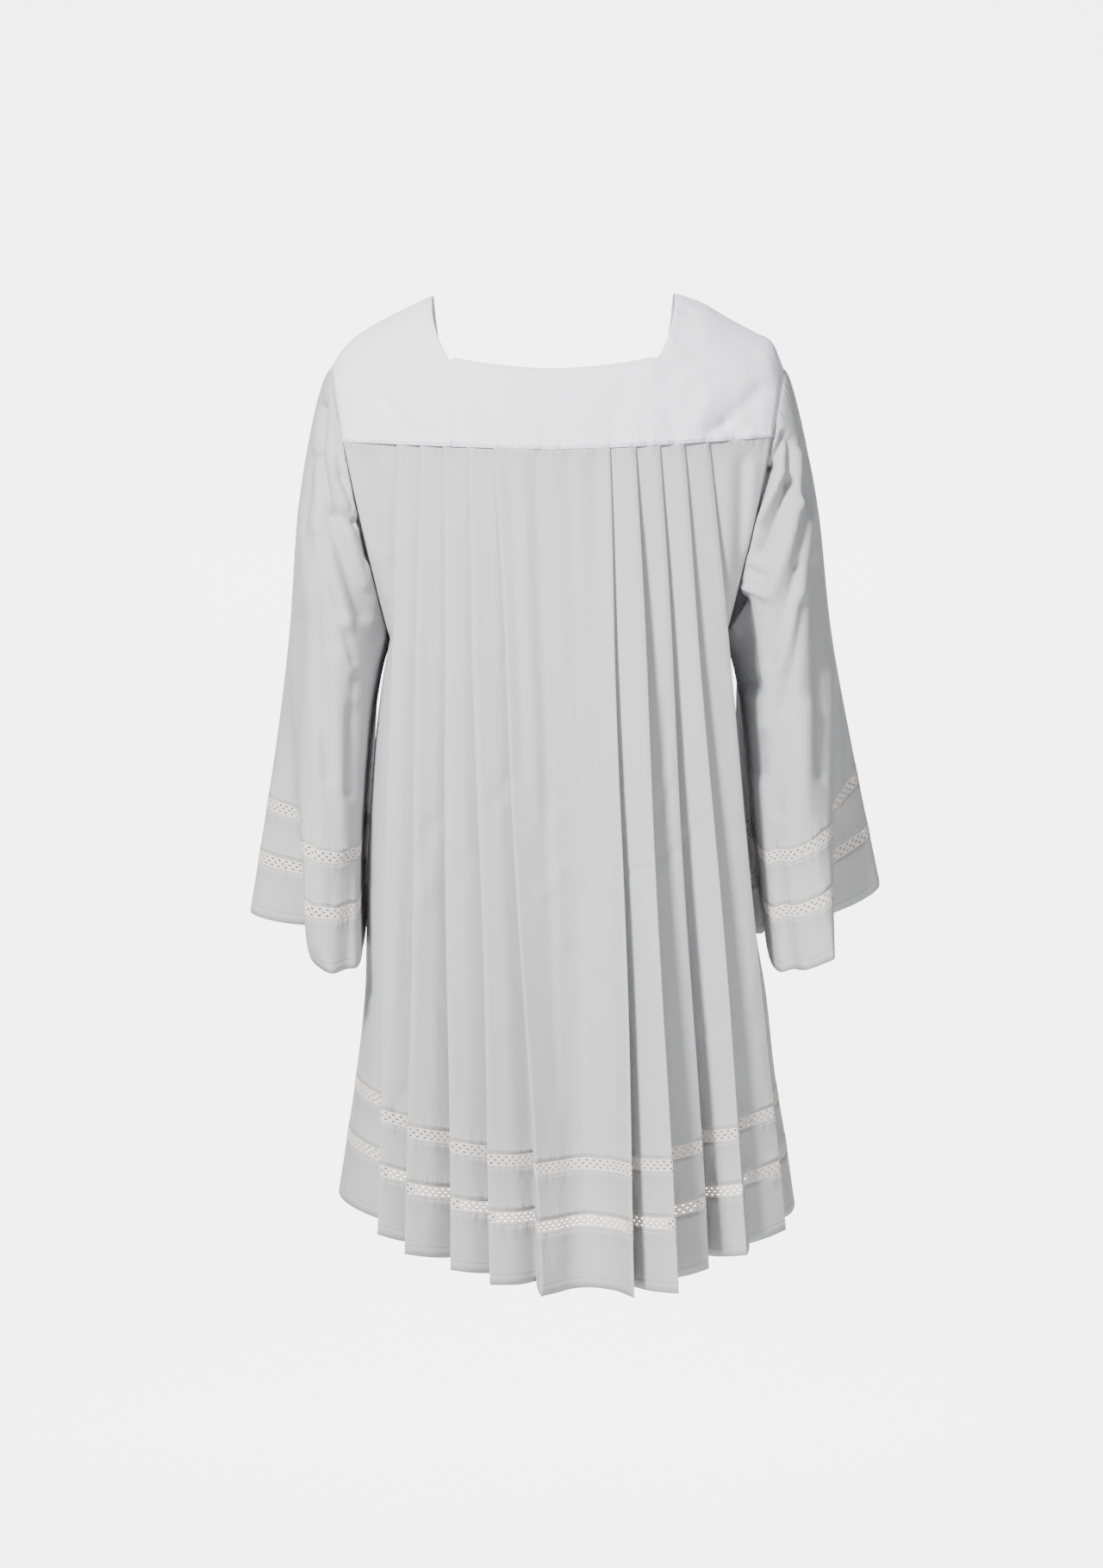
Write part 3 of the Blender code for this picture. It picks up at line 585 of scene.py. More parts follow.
for half in ("back", "front"):
    flip = half == "back"
    sheet = yoke_sheet(half)
    normals = outward(sheet, False, flip)
    first = YOKE_STRAP_COLUMNS
    last = first + YOKE_NECK_COLUMNS
    normals[:YOKE_STRAP_ROWS + 1, first + 1:last] = normals[YOKE_STRAP_ROWS + 1, first + 1:last]
    sheet = crease_cloth(sheet, normals, YOKE_CREASES)
    count_down, count_across = sheet.shape[:2]
    near_seam = np.clip((np.arange(count_down) - count_down + YOKE_LAP_ROWS + 1) / YOKE_LAP_ROWS, 0.0, 1.0)
    sheet = sheet + normals * YOKE_LAP_OUT * near_seam[:, None, None]
    sheet[-1, :, 2] -= YOKE_LAP
    across, down = cloth_lengths(sheet)
    from_low = down.max() - down
    gather = np.clip(1.0 - from_low / GATHER_REACH, 0.0, 1.0) ** 2
    cells = []
    for cell in grid_cells(count_down, count_across, False, flip):
        r, c = divmod(min(cell), count_across)
        if r >= YOKE_STRAP_ROWS or not first <= c < last:
            cells.append(cell)
    neck_edge = np.concatenate([sheet[:YOKE_STRAP_ROWS, first], sheet[YOKE_STRAP_ROWS, first:last + 1],
                                sheet[:YOKE_STRAP_ROWS, last]])
    from_neck = np.linalg.norm(sheet[:, :, None] - neck_edge[None, None], axis=3).min(axis=2)
    stitch = np.minimum(from_neck - NECK_STITCH, from_low - SEAM_STITCH)
    looks = Looks(yoke_cloth, YOKE_THICK, "yoke_cloth", "draped")
    finish_sheet("yoke_" + half, sheet, False, cells, looks, across, down, gather, stitch)

# The skirt: a back and a front panel of thinner white cloth, joined in the side seams. Each has ten knife
# pleats pressed from the yoke seam to the hem, five on each side of a plain middle. They open towards the
# hem, where two lace insertions and a plain band stand above the hem strip. Its cloth, which the sleeves
# share, is coloured much darker than the yoke's: painted shade.
HEM_SIDE_Z = {"left": -0.995, "right": -1.007}
HEM_SIDE_X = {"left": -0.240, "right": 0.269}
HEM_DROP = {"back": 0.048, "front": 0.032}
HEM_DROP_POWER = 1.25
PLEAT_LAYER = 0.0011
PLEAT_TUCK = 0.020
SIDE_CORNER_POWER = 2.4
LEFT_PLEATS = 5
CLOTH_THICK = 0.0007
SEAM_GAP = 0.0003
FOLD_SOFTNESS = 0.55
YOKE_TIP = 0.4  # how far a fold's tip stands out, at the yoke and at the hem
HEM_TIP = 0.6
WANDER_TURNS = 2.6  # how often a pleat's edge strays to and fro, and how far the pleats differ in it
WANDER_SHIFT = 400.0
WANDER_REACH = 4.0

Strip = namedtuple("Strip", "name skirt sleeve")
STRIPS = [
    Strip("hem", 0.063, 0.0575),
    Strip("lace_lower", 0.013, 0.013),
    Strip("band", 0.046, 0.047),
    Strip("lace_upper", 0.013, 0.013),
]

SideSeam = namedtuple("SideSeam", "z left right")
SIDE_SEAM = in_metres(SideSeam, [
    (-375, -178, 186.5),
    (-420, -186.5, 195),
    (-460, -192, 200),
    (-500, -196.5, 204),
    (-600, -203.5, 213),
    (-700, -206.5, 223),
    (-770, -208.5, 235),
    (-860, -218.5, 245.5),
    (-930, -229, 257.5),
    (-1020, -243.5, 271),
])

# One row for each knife pleat, left to right. Its edge runs from yoke_x at the seam to the edge point at the
# hem. The root is its inner fold, wander how far the edge strays, and bulge how far its face stands out.
Pleat = namedtuple("Pleat", "yoke_x edge_x edge_out root_x root_out wander bulge")
PLEATS = {
    "back": in_metres(Pleat, [
        (-165, -188, 160, -183, 93, 1.2, 3),
        (-140, -155, 203, -150, 150, -1, 4.5),
        (-116, -108, 220, -103, 163, 1.4, 3.5),
        (-90, -64, 245, -59, 196, -1.4, 5),
        (-62.5, -13, 268, -19, 211, 2, 4),
        (59, 84, 278, 80, 228, -1.6, 4.5),
        (86, 127, 284, 122, 224, 1.2, 3.5),
        (111.5, 162, 212, 157, 150, 1.6, 4.5),
        (137.5, 205, 197, 211, 155, -1.4, 4),
        (164, 249, 134, 244, 85, 1, 3),
    ]),
    "front": in_metres(Pleat, [
        (-166, -205, 150, -199, 100, 1.2, 3.5),
        (-141, -168, 190, -162, 143, -1.2, 4),
        (-115, -125, 215, -120, 168, 1.4, 4),
        (-88, -80, 232, -74, 184, 1, 3.5),
        (-60, -35, 240, -39, 192, -1.4, 4.5),
        (60, 62, 244, 58, 196, 1.2, 4),
        (87, 108, 238, 103, 188, -1.2, 3.5),
        (115, 152, 222, 147, 170, 1.4, 4.5),
        (142, 193, 194, 188, 146, -1, 3.5),
        (167, 230, 150, 225, 102, 1.2, 4),
    ]),
}
PanelPoint = namedtuple("PanelPoint", "across hem_out")
CENTRE_PANEL = {
    "back": [
        PanelPoint(0.0, 0.268),
        PanelPoint(0.17, 0.250),
        PanelPoint(0.33, 0.233),
        PanelPoint(0.50, 0.228),
        PanelPoint(0.67, 0.234),
        PanelPoint(0.84, 0.249),
        PanelPoint(1.0, 0.278),
    ],
    "front": [
        PanelPoint(0.0, 0.240),
        PanelPoint(0.25, 0.222),
        PanelPoint(0.50, 0.214),
        PanelPoint(0.75, 0.225),
        PanelPoint(1.0, 0.244),
    ],
}
# Ripples down the plain middle and the pleats' faces, troughs beside the armholes and short sharp creases.
SKIRT_CREASES = {
    "back": [
        (-34, -185, -16, -560, 7, 1.8), (-18, -185, 4, -860, 6.2, -1.6), (0, -185, 12, -420, 4.4, 0.9),
        (16, -185, 40, -700, 5.6, -1.4), (27, -185, 50, -980, 5, 1.2), (44, -185, 68, -860, 6.6, -1.5),
        (-152, -260, -170, -800, 5, 1.2), (-128, -300, -136, -840, 4.8, -1.2),
        (-103, -260, -94, -760, 4.5, 1.1), (-76, -240, -52, -860, 5, -1.3), (-68, -420, -44, -900, 4.5, 1),
        (74, -300, 98, -820, 4.8, 1), (100, -260, 136, -860, 4.8, -1), (126, -320, 170, -820, 4.8, 1),
        (-186, -420, -204, -820, 6, -1.4), (190, -420, 226, -860, 7, 1.4), (3, -560, 8, -1010, 10, 2.8),
        (28, -640, 36, -980, 9, -2.6), (-45, -200, -32, -520, 6, -1.8), (201, -190, 199, -300, 7.5, -5),
        (213, -195, 208, -280, 7, 3), (185, -200, 186, -340, 9, 1.8), (-196, -190, -190, -270, 9, -4),
        (-181, -190, -180, -330, 8, 2), (-172, -300, -176, -420, 8, -2), (-100, -520, -94, -585, 6, 1.4),
        (67, -521, 74, -540, 4, -1.8), (120, -470, 126, -500, 4, -1.4), (-70, -720, -60, -760, 6, -1.4),
        (81, -616, 96, -611, 4.6, -3), (114, -602, 127, -597, 4.6, -2.7),
        (146, -585, 160, -566, 5.2, -3.2), (112, -560, 119, -532, 4.6, -2.7),
        (113, -505, 119, -440, 5.2, -2.4), (-142, -610, -126, -566, 5.2, -3),
        (-141, -660, -130, -628, 5.2, 2.7), (-104, -640, -92, -604, 4.6, -2.4),
        (-60, -545, -48, -520, 5.2, -2.4), (20, -700, 52, -735, 9.1, -2.2),
        (-10, -640, 14, -610, 7.8, 1.9), (-168, -880, -156, -850, 5.2, -2.4),
        (163, -790, 175, -765, 5.9, -2.4),
    ],
    "front": [
        (-152, -260, -176, -800, 5, 1.1), (-100, -300, -100, -840, 4.8, -1.1),
        (74, -260, 86, -780, 4.8, 1), (128, -300, 160, -840, 5, -1.2), (-24, -190, -12, -750, 8, 2.6),
        (2, -190, 4, -900, 8.5, -3), (28, -220, 30, -840, 8, 2.2), (200, -190, 198, -310, 8.5, -4),
        (-195, -190, -190, -290, 8.5, -4), (100, -500, 106, -560, 6, -1.4),
    ],
}

SKIRT_ROWS = 148
FACE_STEPS = 7
UNDER_STEPS = 4  # the same for the cloth under a fold, which bulges less
UNDER_BULGE = 0.3
CENTRE_STEPS = 34
SIDE_STEPS = 26
TRIMMED_SKIRT = sum(strip.skirt for strip in STRIPS)


def hem_z(x, half):
    part = (x - HEM_SIDE_X["left"]) / (HEM_SIDE_X["right"] - HEM_SIDE_X["left"])
    sides = blend(HEM_SIDE_Z["left"], HEM_SIDE_Z["right"], part)
    return sides - HEM_DROP[half] * max(4.0 * part * (1.0 - part), 0.0) ** HEM_DROP_POWER


def seam_out(x, half):
    """The yoke seam itself: the oval, drawn to the armhole at its ends."""
    end = seam_end(side_of(x))
    part = max((abs(x) - NECK_CORNER_X) / (end[0] - NECK_CORNER_X), 0.0)
    return oval_out(x, half) + part**DRAW_POWER * (end[1] - oval_out(end[0], half))


def soften_hem_folds(corners):
    """Each fold of a line of corners as two points, one layer apart."""
    folds = []
    for before, here, after in zip(corners, corners[1:], corners[2:]):
        first = (here - before) / np.linalg.norm(here - before)
        second = (after - here) / np.linalg.norm(after - here)
        along = first + second
        along = along / np.linalg.norm(along) * PLEAT_LAYER / 2
        folds.append((here - along, here + along, (first - second) / np.linalg.norm(first - second)))
    return folds


def pleat_lines(half):
    """Every lengthwise line of the pleats as (x, out) at the yoke and at the hem, with its wander."""
    pleats = PLEATS[half]
    centre = len(pleats) - LEFT_PLEATS
    hem_line = [np.array((HEM_SIDE_X["left"], 0.0))]
    yoke_folds = []
    wanders = []
    bulges = []
    for i, pleat in enumerate(pleats):
        edge = np.array((pleat.edge_x, pleat.edge_out))
        root = np.array((pleat.root_x, pleat.root_out))
        left = i < LEFT_PLEATS
        inward = 1.0 if left else -1.0
        if i in (0, len(pleats) - 1):
            spacing = abs(pleats[1].yoke_x - pleats[0].yoke_x)
        else:
            spacing = abs(pleat.yoke_x - pleats[i - 1 if left else i + 1].yoke_x)
        sunk = 2.0 * PLEAT_LAYER / spacing * PLEAT_TUCK
        root_x = pleat.yoke_x + inward * PLEAT_TUCK
        edge_out = seam_out(pleat.yoke_x, half)
        root_out = seam_out(root_x, half) - sunk
        edge_fold = [np.array((pleat.yoke_x, edge_out - i * PLEAT_LAYER)) for i in (0, 1)]
        root_fold = [np.array((root_x, root_out - i * PLEAT_LAYER)) for i in (1, 2)]
        if left:
            hem_line += [root, edge]
            yoke_folds += [root_fold[::-1], edge_fold[::-1]]
        else:
            hem_line += [edge, root]
            yoke_folds += [edge_fold, root_fold]
        wanders += [pleat.wander, pleat.wander]
        bulges += [pleat.bulge, pleat.bulge]
    hem_line.append(np.array((HEM_SIDE_X["right"], 0.0)))
    hem_folds = soften_hem_folds(hem_line)
    lines = []
    for i, (yoke_fold, hem_fold) in enumerate(zip(yoke_folds, hem_folds)):
        tip = hem_fold[2] * PLEAT_LAYER * FOLD_SOFTNESS
        yoke_tip = np.array((np.sign(tip[0]) * PLEAT_LAYER * FOLD_SOFTNESS * YOKE_TIP, 0.0))
        yoke_tip += (yoke_fold[0] + yoke_fold[1]) / 2
        lines.append((yoke_fold[0], hem_fold[0], wanders[i]))
        lines.append((yoke_tip, (hem_fold[0] + hem_fold[1]) / 2 + tip * HEM_TIP, wanders[i]))
        lines.append((yoke_fold[1], hem_fold[1], wanders[i]))
        if i == len(yoke_folds) - 1:
            continue
        start = (yoke_fold[1], hem_fold[1])
        end = (yoke_folds[i + 1][0], hem_folds[i + 1][0])
        if i == 2 * centre - 1:
            for step in range(1, CENTRE_STEPS):
                part = step / CENTRE_STEPS
                x = blend(start[0][0], end[0][0], part)
                at_yoke = np.array((x, seam_out(x, half)))
                hem_out = read_table(CENTRE_PANEL[half], "across", part).hem_out
                at_hem = np.array((blend(start[1][0], end[1][0], part), hem_out))
                lines.append((at_yoke, at_hem, blend(wanders[i], wanders[i + 1], part)))
            continue
        across = end[1] - start[1]
        square = np.array((-across[1], across[0])) / np.linalg.norm(across)
        face = i % 2 == 1
        steps = FACE_STEPS if face else UNDER_STEPS
        for step in range(1, steps):
            part = step / steps
            bulge = square * bulges[i] * math.sin(math.pi * part) * (1.0 if face else UNDER_BULGE)
            lines.append((blend(start[0], end[0], part), blend(start[1], end[1], part) + bulge,
                          blend(wanders[i], wanders[i + 1], part)))
    return lines


def line_point(line, half, share, above):
    """The point of a lengthwise line at a share of the way down, raised by above."""
    at_yoke, at_hem, wander = line
    top = seam_z(at_yoke[0])
    low = hem_z(at_hem[0], half)
    z = blend(top, low, share) + above
    part = (top - z) / (top - low)
    x, out = blend(at_yoke, at_hem, part)
    sway = math.sin(math.pi * WANDER_TURNS * part + WANDER_SHIFT * wander)
    stray = wander * sway * min(part * WANDER_REACH, 1.0)
    return (x + stray, out, z)


def side_edge_point(side, half, share, above):
    sign = -1.0 if side == "left" else 1.0
    z = blend(seam_z(sign * seam_end(side)[0]), hem_z(HEM_SIDE_X[side], half), share) + above
    if z > UNDERARM_Z:
        x, out, _ = armhole_point(side, armhole_angle(z))
        return (sign * x, out, z)
    return (getattr(read_table(SIDE_SEAM, "z", z), side), 0.0, z)


def side_cloth(side, line, half, share, above):
    """The plain cloth from the last fold round to the side seam or the armhole."""
    start = line_point(line, half, share, above)
    end = side_edge_point(side, half, share, above)
    near_yoke = ease((end[2] - UNDERARM_Z) / (YOKE_SEAM_Z - UNDERARM_Z))
    points = []
    for i in range(1, SIDE_STEPS + 1):
        part = i / SIDE_STEPS
        turn = QUARTER * part
        across = math.sin(turn) ** (2.0 / SIDE_CORNER_POWER)
        round_x = blend(start[0], end[0], across)
        round_out = blend(start[1], end[1], 1.0 - max(math.cos(turn), 0.0) ** (2.0 / SIDE_CORNER_POWER))
        yoke_x = blend(start[0], end[0], part)
        miss = blend(start[1] - seam_out(start[0], half), end[1] - seam_out(end[0], half), part)
        yoke_out = seam_out(yoke_x, half) + miss
        top = seam_z(blend(line[0][0], end[0], part))
        low = hem_z(blend(line[1][0], HEM_SIDE_X[side], across), half)
        points.append((blend(round_x, yoke_x, near_yoke), blend(round_out, yoke_out, near_yoke),
                       blend(top, low, share) + above))
    return points


def skirt_sheet(half, levels):
    """Rows of the whole panel, one for each (share, above)."""
    lines = pleat_lines(half)
    rows = []
    for share, above in levels:
        left = side_cloth("left", lines[0], half, share, above)
        right = side_cloth("right", lines[-1], half, share, above)
        rows.append(left[::-1] + [line_point(line, half, share, above) for line in lines] + right)
    sheet = np.array(rows)
    if half == "back":
        sheet[..., 1] *= -1.0
    return sheet


STRIP_STEPS = 8


def strip_levels(key):
    """For each strip its name and the distances of its rows above the edge, from the top down."""
    low = 0.0
    levels = []
    for strip in STRIPS:
        high = low + getattr(strip, key)
        heights = [blend(high, low, i / STRIP_STEPS) for i in range(STRIP_STEPS + 1)]
        levels.insert(0, (strip.name, heights))
        low = high
    return levels


# Openwork insertion: cotton lace 13 mm wide, in three staggered rows of small oval eyelets. Each has a raised
# thread round it, and a plain heading runs along both edges. It is sewn in between two folded edges.
LACE_PITCH = 0.0085
LACE_HEIGHT = 0.013
LACE_ROW = 0.0034
EYELET_HALF_WIDTH = 0.00175
EYELET_HALF_HEIGHT = 0.00100
LACE_RAISE = 0.00045
THREAD_PLACE = 0.4  # where the raised thread lies from the eyelet's edge to halfway to the next
HEADING_RAISE = 0.6  # how high the heading's thread is against the eyelets'
LACE_THICK = 0.0007
LACE_MERGE = 0.00002

lace_points = []
lace_faces = []


def lace_point(x, y, z):
    lace_points.append((x, y, z))
    return len(lace_points) - 1


def eyelet_half(centre_x, centre_y, first, last):
    """The cloth round part of an eyelet, from one eighth of a turn to another."""
    half_pitch = LACE_PITCH / 2
    half_row = LACE_ROW / 2
    rim = [(1, 0), (1, 1), (0, 1), (-1, 1), (-1, 0), (-1, -1), (0, -1), (1, -1)]
    rings = []
    for i in range(first, last + 1):
        turn = math.radians(45.0 * i)
        reach_x, reach_y = rim[i % 8]
        x = centre_x + EYELET_HALF_WIDTH * math.cos(turn)
        y = centre_y + EYELET_HALF_HEIGHT * math.sin(turn)
        far_x = centre_x + half_pitch * reach_x
        far_y = centre_y + half_row * reach_y
        inner = lace_point(x, y, 0.0)
        middle = lace_point(blend(x, far_x, THREAD_PLACE), blend(y, far_y, THREAD_PLACE), LACE_RAISE)
        rings.append((inner, middle, lace_point(far_x, far_y, 0.0)))
    for a, b in zip(rings, rings[1:]):
        lace_faces.append((a[0], a[1], b[1], b[0]))
        lace_faces.append((a[1], a[2], b[2], b[1]))


for row in (-1, 1):
    eyelet_half(LACE_PITCH / 2, row * LACE_ROW, 0, 8)
eyelet_half(0.0, 0.0, -2, 2)
eyelet_half(LACE_PITCH, 0.0, 2, 6)
for row in (-1, 1):
    edge = row * LACE_ROW * 1.5
    heading = row * LACE_HEIGHT / 2
    for i in range(2):
        x0 = i * LACE_PITCH / 2
        x1 = x0 + LACE_PITCH / 2
        middle = blend(edge, heading, 0.5)
        near = [lace_point(x0, edge, 0.0), lace_point(x1, edge, 0.0)]
        raised = [lace_point(x, middle, LACE_RAISE * HEADING_RAISE) for x in (x1, x0)]
        far = [lace_point(x1, heading, 0.0), lace_point(x0, heading, 0.0)]
        first = (near[0], near[1], raised[0], raised[1])
        second = (raised[1], raised[0], far[0], far[1])
        lace_faces += [first, second] if row > 0 else [first[::-1], second[::-1]]
lace_cell_mesh = bpy.data.meshes.new("lace_cell")
lace_cell_mesh.from_pydata(lace_points, [], lace_faces)
lace_cell = add_object("lace_cell", lace_cell_mesh)
lace_thread = cloth_finish("lace_thread", (0.82, 0.795, 0.745), (0.72, 0.695, 0.645),
                           crumple=60.0, height=0.0004, pucker=0.0, threads=3200.0, relief=0.00010)

lace_tree = bpy.data.node_groups.new("lace_run", "GeometryNodeTree")
LACE_SOCKETS = {
    label: lace_tree.interface.new_socket(label, in_out="INPUT", socket_type="NodeSocket" + kind).identifier
    for label, kind in (("Cell", "Object"), ("Cells", "Int"), ("Pitch", "Float"), ("Thread", "Material"))
}
lace_tree.interface.new_socket("Geometry", in_out="OUTPUT", socket_type="NodeSocketGeometry")
lace_in = lace_tree.nodes.new("NodeGroupInput")
lace_out = lace_tree.nodes.new("NodeGroupOutput")
cell_info = add_node(lace_tree, "GeometryNodeObjectInfo", {"Object": lace_in.outputs["Cell"]})
lace_step = add_node(lace_tree, "ShaderNodeCombineXYZ", {"X": lace_in.outputs["Pitch"]})
lace_line = add_node(lace_tree, "GeometryNodeMeshLine", {
    "Count": lace_in.outputs["Cells"],
    "Offset": lace_step.outputs[0],
})
lace_copies = add_node(lace_tree, "GeometryNodeInstanceOnPoints", {
    "Points": lace_line.outputs["Mesh"],
    "Instance": cell_info.outputs["Geometry"],
})
lace_real = add_node(lace_tree, "GeometryNodeRealizeInstances", {
    "Geometry": lace_copies.outputs["Instances"],
})
lace_merge = add_node(lace_tree, "GeometryNodeMergeByDistance", {
    "Geometry": lace_real.outputs["Geometry"],
    "Distance": LACE_MERGE,
})
lace_set = add_node(lace_tree, "GeometryNodeSetMaterial", {
    "Geometry": lace_merge.outputs["Geometry"],
    "Material": lace_in.outputs["Thread"],
})
lace_tree.links.new(lace_set.outputs["Geometry"], lace_out.inputs["Geometry"])


def flat_lace(name, cells):
    """A flat run of lace with this many repeats."""
    holder = add_object(name, bpy.data.meshes.new(name + "_start"))
    run = holder.modifiers.new("run", "NODES")
    run.node_group = lace_tree
    values = {"Cell": lace_cell, "Cells": cells, "Pitch": LACE_PITCH, "Thread": lace_thread}
    for label, value in values.items():
        run[LACE_SOCKETS[label]] = value
    view = bpy.context.evaluated_depsgraph_get()
    mesh = bpy.data.meshes.new_from_object(holder.evaluated_get(view))
    holder.modifiers.remove(run)
    bpy.data.objects.remove(holder)
    return mesh


def hang_lace(node, sheet, around, flip):
    """Lays a flat run of lace on the rows of a strip and makes it a piece."""
    normals = outward(sheet, around, flip)
    if around:
        sheet = np.concatenate([sheet, sheet[:, :1]], axis=1)
        normals = np.concatenate([normals, normals[:, :1]], axis=1)
    count_down, count_across = sheet.shape[:2]
    run = lengths_along(sheet[count_down // 2], 0)
    width = float(run[-1])
    cells = max(int(round(width / LACE_PITCH)), 1)
    mesh = flat_lace(node, cells)
    flat = np.empty(len(mesh.vertices) * 3)
    mesh.vertices.foreach_get("co", flat)
    flat = flat.reshape(-1, 3)
    share = np.clip(flat[:, 0] / (cells * LACE_PITCH), 0.0, 1.0)
    column = np.interp(share * width, run, np.arange(count_across))
    row = np.clip((0.5 - flat[:, 1] / LACE_HEIGHT) * (count_down - 1), 0.0, count_down - 1.0)
    c = np.minimum(column.astype(int), count_across - 2)
    r = np.minimum(row.astype(int), count_down - 2)
    part_c = (column - c)[:, None]
    part_r = (row - r)[:, None]

    def on_strip(values):
        top = values[r, c] * (1.0 - part_c) + values[r, c + 1] * part_c
        low = values[r + 1, c] * (1.0 - part_c) + values[r + 1, c + 1] * part_c
        return top * (1.0 - part_r) + low * part_r

    square = on_strip(normals)
    square /= np.maximum(np.linalg.norm(square, axis=1, keepdims=True), TINY)
    hung = on_strip(sheet) + square * flat[:, 2:3]
    mesh.vertices.foreach_set("co", hung.reshape(-1))
    if not flip:
        mesh.flip_normals()
    mesh.update()
    mesh.materials.clear()
    looks = Looks(lace_thread, LACE_THICK, "lace", "hung")
    no_gather = np.zeros(len(flat))
    far_from_stitch = np.full(len(flat), LACE_HEIGHT)
    finish_piece(node, mesh, looks, width, LACE_HEIGHT, flat[:, 0], flat[:, 1], no_gather, far_from_stitch)


HEM_STITCH = 0.0100  # the hem is turned up and stitched this far above its edge
EDGE_ROLL = 0.00035  # the turned edge beside a seam is thicker
EDGE_ROLL_REACH = 0.0030


def plain_strip(node, sheet, around, flip):
    """A plain piece of cloth from its rows, gathered a little and rolled where it is sewn."""
    across, down = cloth_lengths(sheet)
    from_low = down.max() - down
    hem = node.endswith("_hem")
    gather = np.zeros(sheet.shape[:2])
    roll = np.zeros(sheet.shape[:2])
    for reach in [down] if hem else [down, from_low]:
        gather = np.maximum(gather, np.clip(1.0 - reach / GATHER_REACH, 0.0, 1.0) ** 2)
        roll = np.maximum(roll, np.exp(-((reach / EDGE_ROLL_REACH) ** 2)))
    stitch = from_low - (HEM_STITCH if hem else SEAM_STITCH)
    if hem or node.endswith("_band"):
        stitch = np.minimum(stitch, down - SEAM_STITCH)
    sheet = sheet + outward(sheet, around, flip) * EDGE_ROLL * roll[..., None]
    cells = grid_cells(*sheet.shape[:2], around, flip)
    looks = Looks(skirt_cloth, CLOTH_THICK, "cloth", "hung")
    finish_sheet(node, sheet, around, cells, looks, across, down, gather, stitch)


def hang_strip(node, sheet, around, flip):
    """One strip above the edge of the skirt or a sleeve, of lace or plain cloth by its name."""
    hang = hang_lace if "_lace_" in node else plain_strip
    hang(node, sheet, around, flip)


# Painted shade: the skirt's and sleeves' white cloth is given a much darker colour than the yoke's.
skirt_cloth = cloth_finish("skirt_cloth", (0.515, 0.515, 0.52), (0.46, 0.46, 0.47),
                           crumple=14.0, height=0.0042, pucker=1.0, threads=2300.0, relief=0.00004)

for half in ("back", "front"):
    flip = half == "back"
    levels = [(i / SKIRT_ROWS, TRIMMED_SKIRT * i / SKIRT_ROWS) for i in range(SKIRT_ROWS + 1)]
    for name, heights in strip_levels("skirt"):
        levels += [(1.0, height) for height in heights[1:]]
    whole = skirt_sheet(half, levels)
    straight_out = np.zeros(whole.shape)
    straight_out[..., 1] = -1.0 if flip else 1.0
    whole = crease_cloth(whole, straight_out, SKIRT_CREASES)
    whole[0, :, 2] -= SEAM_GAP
    plain_strip("skirt_" + half, whole[:SKIRT_ROWS + 1], False, flip)
    row = SKIRT_ROWS
    for name, heights in strip_levels("skirt"):
        hang_strip(f"skirt_{half}_{name}", whole[row:row + len(heights)], False, flip)
        row += len(heights) - 1

# The sleeves: one wide piece of the skirt's cloth each, sewn along the underarm and set into the armhole.
# They hang in soft troughs that deepen towards the cuff, and end in the skirt's lace, band and hem strip.
# Sections from the armhole to the cuff: the outermost and innermost point, the depth to the back and to the
# front, and how square the outer and the inner half are.
Section = namedtuple("Section", "along outer_x outer_z inner_x inner_z back front outer_power inner_power")
SLEEVES = {
    "left": [
        Section(0.00, 0.242, -0.085, 0.178, -0.375, 0.095, 0.095, 2.0, 2.0),
        Section(0.15, 0.260, -0.135, 0.186, -0.405, 0.104, 0.100, 2.0, 2.1),
        Section(0.35, 0.278, -0.235, 0.197, -0.470, 0.112, 0.106, 1.9, 2.4),
        Section(0.60, 0.290, -0.375, 0.206, -0.560, 0.120, 0.112, 1.7, 2.8),
        Section(0.80, 0.307, -0.505, 0.209, -0.635, 0.128, 0.118, 1.6, 3.2),
        Section(1.00, 0.336, -0.681, 0.208, -0.698, 0.138, 0.126, 1.5, 3.6),
    ],
    "right": [
        Section(0.00, 0.2505, -0.085, 0.1865, -0.375, 0.095, 0.095, 2.0, 2.0),
        Section(0.15, 0.268, -0.135, 0.197, -0.405, 0.104, 0.100, 2.0, 2.1),
        Section(0.35, 0.289, -0.235, 0.208, -0.470, 0.112, 0.106, 1.9, 2.4),
        Section(0.60, 0.306, -0.375, 0.217, -0.560, 0.119, 0.112, 1.7, 2.8),
        Section(0.80, 0.330, -0.500, 0.226, -0.638, 0.126, 0.118, 1.5, 3.2),
        Section(1.00, 0.362, -0.650, 0.235, -0.705, 0.136, 0.126, 1.4, 3.6),
    ],
}
SLEEVE_DROP = {"back": 0.040, "front": 0.024}
SLEEVE_DROP_POWER = {"left": 1.5, "right": 0.9, "inner": 0.8}
SLEEVE_START = 0.0010  # how far off the armhole the cloth starts, at the shoulder and more at the underarm
SLEEVE_START_MORE = 0.0008
